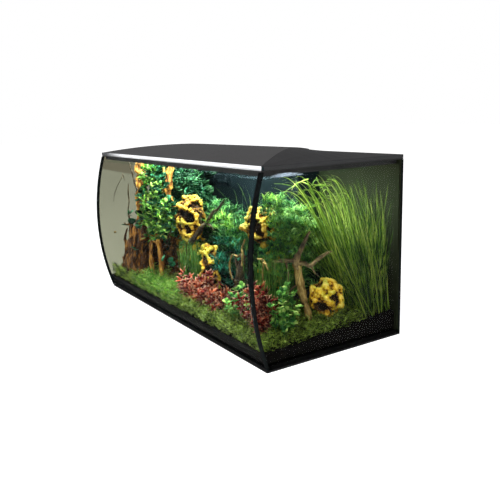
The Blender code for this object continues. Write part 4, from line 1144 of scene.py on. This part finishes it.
def make_seals():
    """Black sealant that closes the joints between the panes."""
    outer = PANE_HIGH.x - 0.1 * MM
    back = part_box("back_pane")[1].y - 0.1 * MM
    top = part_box("right_pane")[1].z - 0.2 * MM
    heights = np.linspace(6.3 * MM, top, 40)

    def front(x0, x1, deep):
        return [(x0, x1, front_arc(GLASS, z) - 0.2 * MM, front_arc(GLASS, z) + deep, z) for z in heights]

    def rear(x0, x1):
        return [(x0, x1, INNER_BACK - 6 * MM, back, z) for z in heights[[0, -1]]]

    seals = {
        "front_left": front(-outer, -INNER_X, 0.6 * MM),
        "front_right": front(INNER_X - 8 * MM, outer, 2.0 * MM),
        "back_left": rear(-outer, -INNER_X + 8 * MM),
        "back_right": rear(INNER_X - 15 * MM, outer),
    }
    for key, levels in seals.items():
        edit = bmesh.new()
        add_post(edit, levels)
        dark = "film" if key == "back_right" else "silicone"
        finish_piece("sealant_" + key, mesh_from(edit, "sealant_" + key), dark, "silicone",
                     "seam_" + key)
    edit = bmesh.new()
    low, high = 4.5 * MM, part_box("bottom_pane")[1].z + 1.5 * MM
    foot = front_arc(GLASS, low) + 0.5 * MM
    for strip in ((INNER_X - 3 * MM, outer, foot, back), (-outer, -INNER_X + 3 * MM, foot, back),
                  (-outer, outer, back - 9 * MM, back), (-outer, outer, foot - 1 * MM, foot + 6 * MM)):
        add_post(edit, [(*strip, low), (*strip, high)])
    finish_piece("sealant_floor", mesh_from(edit, "sealant_floor"), "silicone", "silicone",
                 "floor_seal")


def make_glint():
    """A meniscus strip where the water meets the right pane, near the front, that carries a painted
    highlight.
    """
    outer, inner = INNER_X - 0.5 * MM, INNER_X - 1.5 * MM
    low = WATER_Z + 1.2 * MM
    sections = []
    for t in np.linspace(0, 1, 61):
        y = -0.146 + 0.084 * t
        rise = (7.5 - 2.0 * t) * math.sin(math.pi * min(max(t, 0.03), 0.97)) ** 0.5
        high = WATER_Z + (1.4 + rise + noise.noise(Vector((y * 90, 0, 0))) * 0.8) * MM
        sections.append(((inner, y, low), (outer, y, high), (outer, y, low)))
    edit = bmesh.new()
    loft(edit, sections)
    finish_piece("water_glint", mesh_from(edit, "water_glint"), "glint", "lens_clear")


def make_snail():
    """A small snail on the left pane."""
    edit = bmesh.new()
    bmesh.ops.create_uvsphere(edit, u_segments=20, v_segments=12, radius=1.0)
    for vert in edit.verts:
        swirl = 1 + 0.12 * math.sin(3 * math.atan2(vert.co.z, vert.co.y) + 6 * vert.co.x)
        vert.co = Vector((vert.co.x * 2.2, vert.co.y * 4.0, vert.co.z * 3.0)) * swirl * MM
        vert.co += Vector((-INNER_X + 3.0 * MM, -0.149, 0.164))
    mesh = mesh_from(edit, "snail")
    mesh.shade_smooth()
    mesh.attributes.new("tone", "FLOAT", "POINT").data.foreach_set("value", [0.5] * len(mesh.vertices))
    finish_piece("snail", mesh, "wood_ochre", "stone")


def make_rings():
    """Ceramic rings in place of the plain media block."""
    rng = np.random.default_rng(71)
    low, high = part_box("bio_media")
    pile = Pile(planted=False)
    radius = 6.5 * MM
    profile = [(1.0, -0.9), (1.0, 0.9), (0.5, 0.9), (0.5, -0.9)]
    sides = 12
    faces = []
    for i in range(sides):
        for j in range(4):
            a, b = i * 4 + j, i * 4 + (j + 1) % 4
            c, d = (a + 4) % (sides * 4), (b + 4) % (sides * 4)
            faces += [(a, c, b), (b, c, d)]
    faces = np.array(faces)[:, ::-1]
    shape = []
    for i in range(sides):
        angle = 2 * math.pi * i / sides
        for r, h in profile:
            shape.append((r * math.cos(angle), r * math.sin(angle), h))
    shape = np.array(shape) * radius
    z = low.z + radius
    while z < high.z - radius:
        for x in np.arange(low.x + radius, high.x - radius, radius * 2.2):
            for y in np.arange(low.y + radius * 1.2, high.y - radius, radius * 2.3):
                turn = Matrix.Rotation(rng.uniform(0, 3.14), 3, "Z") @ Matrix.Rotation(
                    rng.uniform(0, 1.6), 3, "X")
                points = shape @ np.array(turn).T + [x, y, z] + rng.normal(size=3) * 0.8 * MM
                pile.add(points[None], faces, np.array(0.5))
        z += radius * 1.9
    pile.piece("ceramic_rings", "ceramic", "bio_media", slot="media_ceramic", body="media_cartridge",
               smooth=False)


def dress_frame():
    """Materials for the CAD pieces whose shape is already right."""
    finishes = {
        "mat": "base_mat",
        "pane_front": "front_pane",
        "pane_left": "left_pane",
        "pane_right": "right_pane",
        "pane_back": "back_pane",
        "pane_floor": "bottom_pane",
        "film": "back_film",
        "filter_black": "filter_partition divider_foam divider_pump outlet_manifold return_pipe "
                        "nozzle_socket_left nozzle_socket_right nozzle_ball_left nozzle_ball_right "
                        "nozzle_tip_left nozzle_tip_right",
        "pump": "pump_body pump_cover foam_handle media_basket impeller",
        "foam": "foam_block",
        "pouch": "carbon_pouch",
        "ceramic": "impeller_shaft",
        "rim": "rim_frame lamp_bracket_left lamp_bracket_right",
        "hood": "wing_left wing_right rear_rail",
        "lid": "lid_panel",
        "steel": "hinge_pin_left hinge_pin_right",
        "trim": "front_trim",
        "aluminium": "lamp_housing",
        "lens": "lamp_lens",
        "board": "led_board",
    }
    for key, names in finishes.items():
        for name in names.split():
            materials = NODES[name].data.materials
            materials.clear()
            materials.append(MAT[key])


MAT = {
    "mat": foam_material("mat_foam", 2, 6),
    "pane_front": glass("pane_front", (985, 990, 985), 0, 0.004),
    # The left pane's dark tint is painted shade for the dimmer surroundings seen through it, and its band
    # is a painted reflection of the hood.
    "pane_left": glass("pane_left", (482, 487, 412), 1, 0.01, (373, 360, 296), dark_edge=False),
    "pane_right": glass("pane_right", (985, 990, 985), 1, 0.004),
    "pane_back": glass("pane_back", (800, 860, 840), 0, 0.02),
    "pane_floor": glass("pane_floor", (500, 600, 560), 0, 0.05),
    "silicone": plastic("silicone_black", 1, 3, 0.6, 0.0, specular=0.03),
    "film": plastic("film_black", (8, 10, 5.2), (15.5, 18.5, 9.8), 0.8, 0.0, 60, specular=0.02),
    "filter_black": plastic("filter_black", (1.3, 2.5, 2.9), (3.8, 6.8, 7.8), 0.6, 0.1, specular=0.05),
    "pump": plastic("pump_black", (6, 6, 7), (16, 16, 18), 0.4, 0.15),
    "rim": plastic("rim_black", 3, 8, 0.5, 0.12),
    # The wing grey is a darker copy of the lid grey: painted shade for the wings, which face away from
    # the light.
    "hood": plastic("wing_shaded_grey", (22, 22, 23), (34, 34, 36), 0.6, 0.2, specular=0.3),
    "lid": plastic("lid_grey", (44, 43, 44), (60, 58, 59), 0.5, 0.2, specular=0.35),
    "trim": trim_material(),
    "steel": brushed("pin_steel", (450, 450, 470), (700, 700, 720), 0.3),
    "aluminium": brushed("lamp_aluminium", (450, 460, 480), (660, 670, 690), 0.35),
    "lens": lens_material(),
    "board": plastic("board_white", (750, 750, 700), (880, 880, 840), 0.4, 0.05, 200),
    "foam": foam_material("filter_foam", 3, (35, 35, 37), 420),
    "pouch": foam_material("carbon_mesh", 5, 60, 1200),
    "ceramic": foam_material("ceramic_pores", (450, 360, 270), (800, 700, 580), 1500),
    "soil": soil_material(),
    "stone": lace_stone(),
    "wood_red": wood("wood_red", (4, 2, 1), (45, 18, 5), (380, 165, 28)),
    "wood_gold": wood("wood_gold", (20, 7, 2), (220, 85, 14), (660, 380, 60)),
    "wood_ochre": wood("wood_ochre", (30, 18, 6), (220, 140, 40), (560, 400, 130)),
    "wood_dark": wood("wood_dark", (3, 2, 1), (18, 12, 6), (85, 62, 24)),
    "wood_fork": wood("wood_fork", (10, 7, 4), (100, 70, 32), (320, 230, 100)),
    # moss_deep is a darker copy of the moss, painted shade for the inner and lower layers; moss_light is
    # a lighter copy, painted light for the shaded lower layers on the right.
    "moss_light": leaf("moss_light_leaf", (8, 40, 10), (120, 320, 60), (440, 700, 180)),
    "moss_deep": leaf("moss_deep_leaf", (2, 14, 5), (20, 90, 24), (120, 320, 80)),
    "water": water_material(),
    "glint": glint_material(),
    "carpet": leaf("carpet_leaf", (16, 26, 4), (210, 320, 40), (700, 920, 190), patch=70),
    "bright": leaf("bright_leaf", (10, 60, 4), (140, 380, 35), (580, 780, 170), patch=40),
    "tuft": leaf("tuft_leaf", (6, 20, 3), (50, 170, 20), (280, 500, 100)),
    "grass": leaf("grass_leaf", (6, 18, 3), (40, 90, 14), (200, 320, 70)),
    "ribbon": leaf("ribbon_leaf", (50, 120, 10), (240, 380, 40), (620, 700, 160)),
    "leaf_mid": leaf("leaf_mid", (3, 22, 4), (72, 200, 26), (380, 520, 110)),
    "leaf_dark": leaf("leaf_dark", (2, 14, 5), (12, 90, 35), (120, 420, 200)),
    # leaf_deep is a near-black copy of the leaf greens, painted shade for the wall of leaves behind the
    # left wood.
    "leaf_deep": leaf("leaf_deep", (1, 6, 3), (4, 24, 9), (30, 100, 30)),
    "fern_blue": leaf("fern_blue", (1, 12, 6), (12, 85, 35), (160, 400, 160)),
    "moss": leaf("moss_leaf", (1, 16, 6), (30, 160, 36), (200, 440, 90)),
    "teal": leaf("teal_leaf", (0.5, 14, 10), (4, 110, 55), (80, 500, 280)),
    "red": leaf("red_leaf", (20, 2, 2), (170, 12, 8), (620, 140, 50),
                tip=(800, 440, 260)),
    "penny": leaf("penny_leaf", (20, 100, 20), (150, 400, 60), (680, 800, 220)),
}


# ---- stage, light and camera -----------------------------------------------------------
CAMERA_PLACE = (1.3291, -0.788, 0.4905)
CAMERA_AIM = (0.0055, 0.0397, 0.1396)
CAMERA_ROLL = math.radians(2.07)
CAMERA_LENS = 44.17
CAMERA_SHIFT = (0.0168, 0.0068)


def make_camera():
    data = bpy.data.cameras.new("camera")
    data.lens = CAMERA_LENS
    data.shift_x, data.shift_y = CAMERA_SHIFT
    camera = link("camera", data)
    ahead = (Vector(CAMERA_AIM) - Vector(CAMERA_PLACE)).normalized()
    level = ahead.cross(Vector((0, 0, 1))).normalized()
    above = level.cross(ahead)
    right = level * math.cos(CAMERA_ROLL) - above * math.sin(CAMERA_ROLL)
    up = right.cross(ahead)
    turn = Matrix((right, up, -ahead)).transposed().to_4x4()
    camera.matrix_world = Matrix.Translation(CAMERA_PLACE) @ turn
    bpy.context.scene.camera = camera


def add_area(name, place, aim, size, power, color=(1, 1, 1)):
    data = bpy.data.lights.new(name, "AREA")
    data.shape = "RECTANGLE"
    data.size, data.size_y = size
    data.energy = power
    data.color = color
    lamp = link(name, data)
    lamp.location = place
    lamp.rotation_euler = (Vector(aim) - Vector(place)).to_track_quat("-Z", "Y").to_euler()
    return lamp


def make_stage():
    mesh = bpy.data.meshes.new("floor")
    reach = 14.0
    mesh.from_pydata([(-reach, -reach, 0), (reach, -reach, 0), (reach, reach, 0), (-reach, reach, 0)],
                     [], [(0, 1, 2, 3)])
    floor = link("floor", mesh)
    floor.location.z = -0.3 * MM
    s = Shader("floor_pale")
    seen = s.node("LightPath", out="Is Camera Ray")
    mesh.materials.append(s.done(
        color=s.ramp(s.noise(3, 2), (0.3, 900), (0.7, 930)), rough=0.9, specular=0.0,
        glow=s.fit(seen, 0.0, 1.0, 0.16, 0.92), glow_color=1000))
    world = bpy.data.worlds.new("studio")
    world.use_nodes = True
    tree = world.node_tree
    back = tree.nodes["Background"]
    back.inputs["Color"].default_value = (1, 1, 1, 1)
    path = tree.nodes.new("ShaderNodeLightPath")
    strength = tree.nodes.new("ShaderNodeMapRange")
    strength.inputs["To Min"].default_value = 0.28
    strength.inputs["To Max"].default_value = 1.0
    tree.links.new(path.outputs["Is Camera Ray"], strength.inputs["Value"])
    tree.links.new(strength.outputs["Result"], back.inputs["Strength"])
    bpy.context.scene.world = world
    bpy.context.scene.view_settings.view_transform = "Standard"
    add_area("key", (-0.9, -1.5, 2.2), (0, 0, 0.3), (1.6, 1.6), 38)
    add_area("fill", (2.2, -1.0, 0.9), (0.2, 0, 0.15), (1.2, 1.2), 24)


def make_lamp_light():
    """The lamp's own light, under the hood; it turns with the lid."""
    middle = (LENS_LOW + LENS_HIGH) / 2
    place = Vector((middle.x, middle.y, LENS_LOW.z - 1 * MM))
    light = add_area("tank_lamp", place, place - Vector((0, 0, 1)), (0.74, 0.22), 23.0, (0.97, 0.99, 1.0))
    light.rotation_euler = (0, 0, 0)
    light.visible_camera = False
    light.visible_glossy = False
    light.parent = frame["bodies"]["lid"]


make_camera()
make_stage()
make_lamp_light()
dress_frame()
make_soil()
make_wood()
make_stones()
make_carpet()
make_tall_grass()
make_left_foliage()
make_middle_foliage()
make_red_plants()
make_round_plants()
make_water()
make_rings()
make_seals()
make_glint()
make_snail()
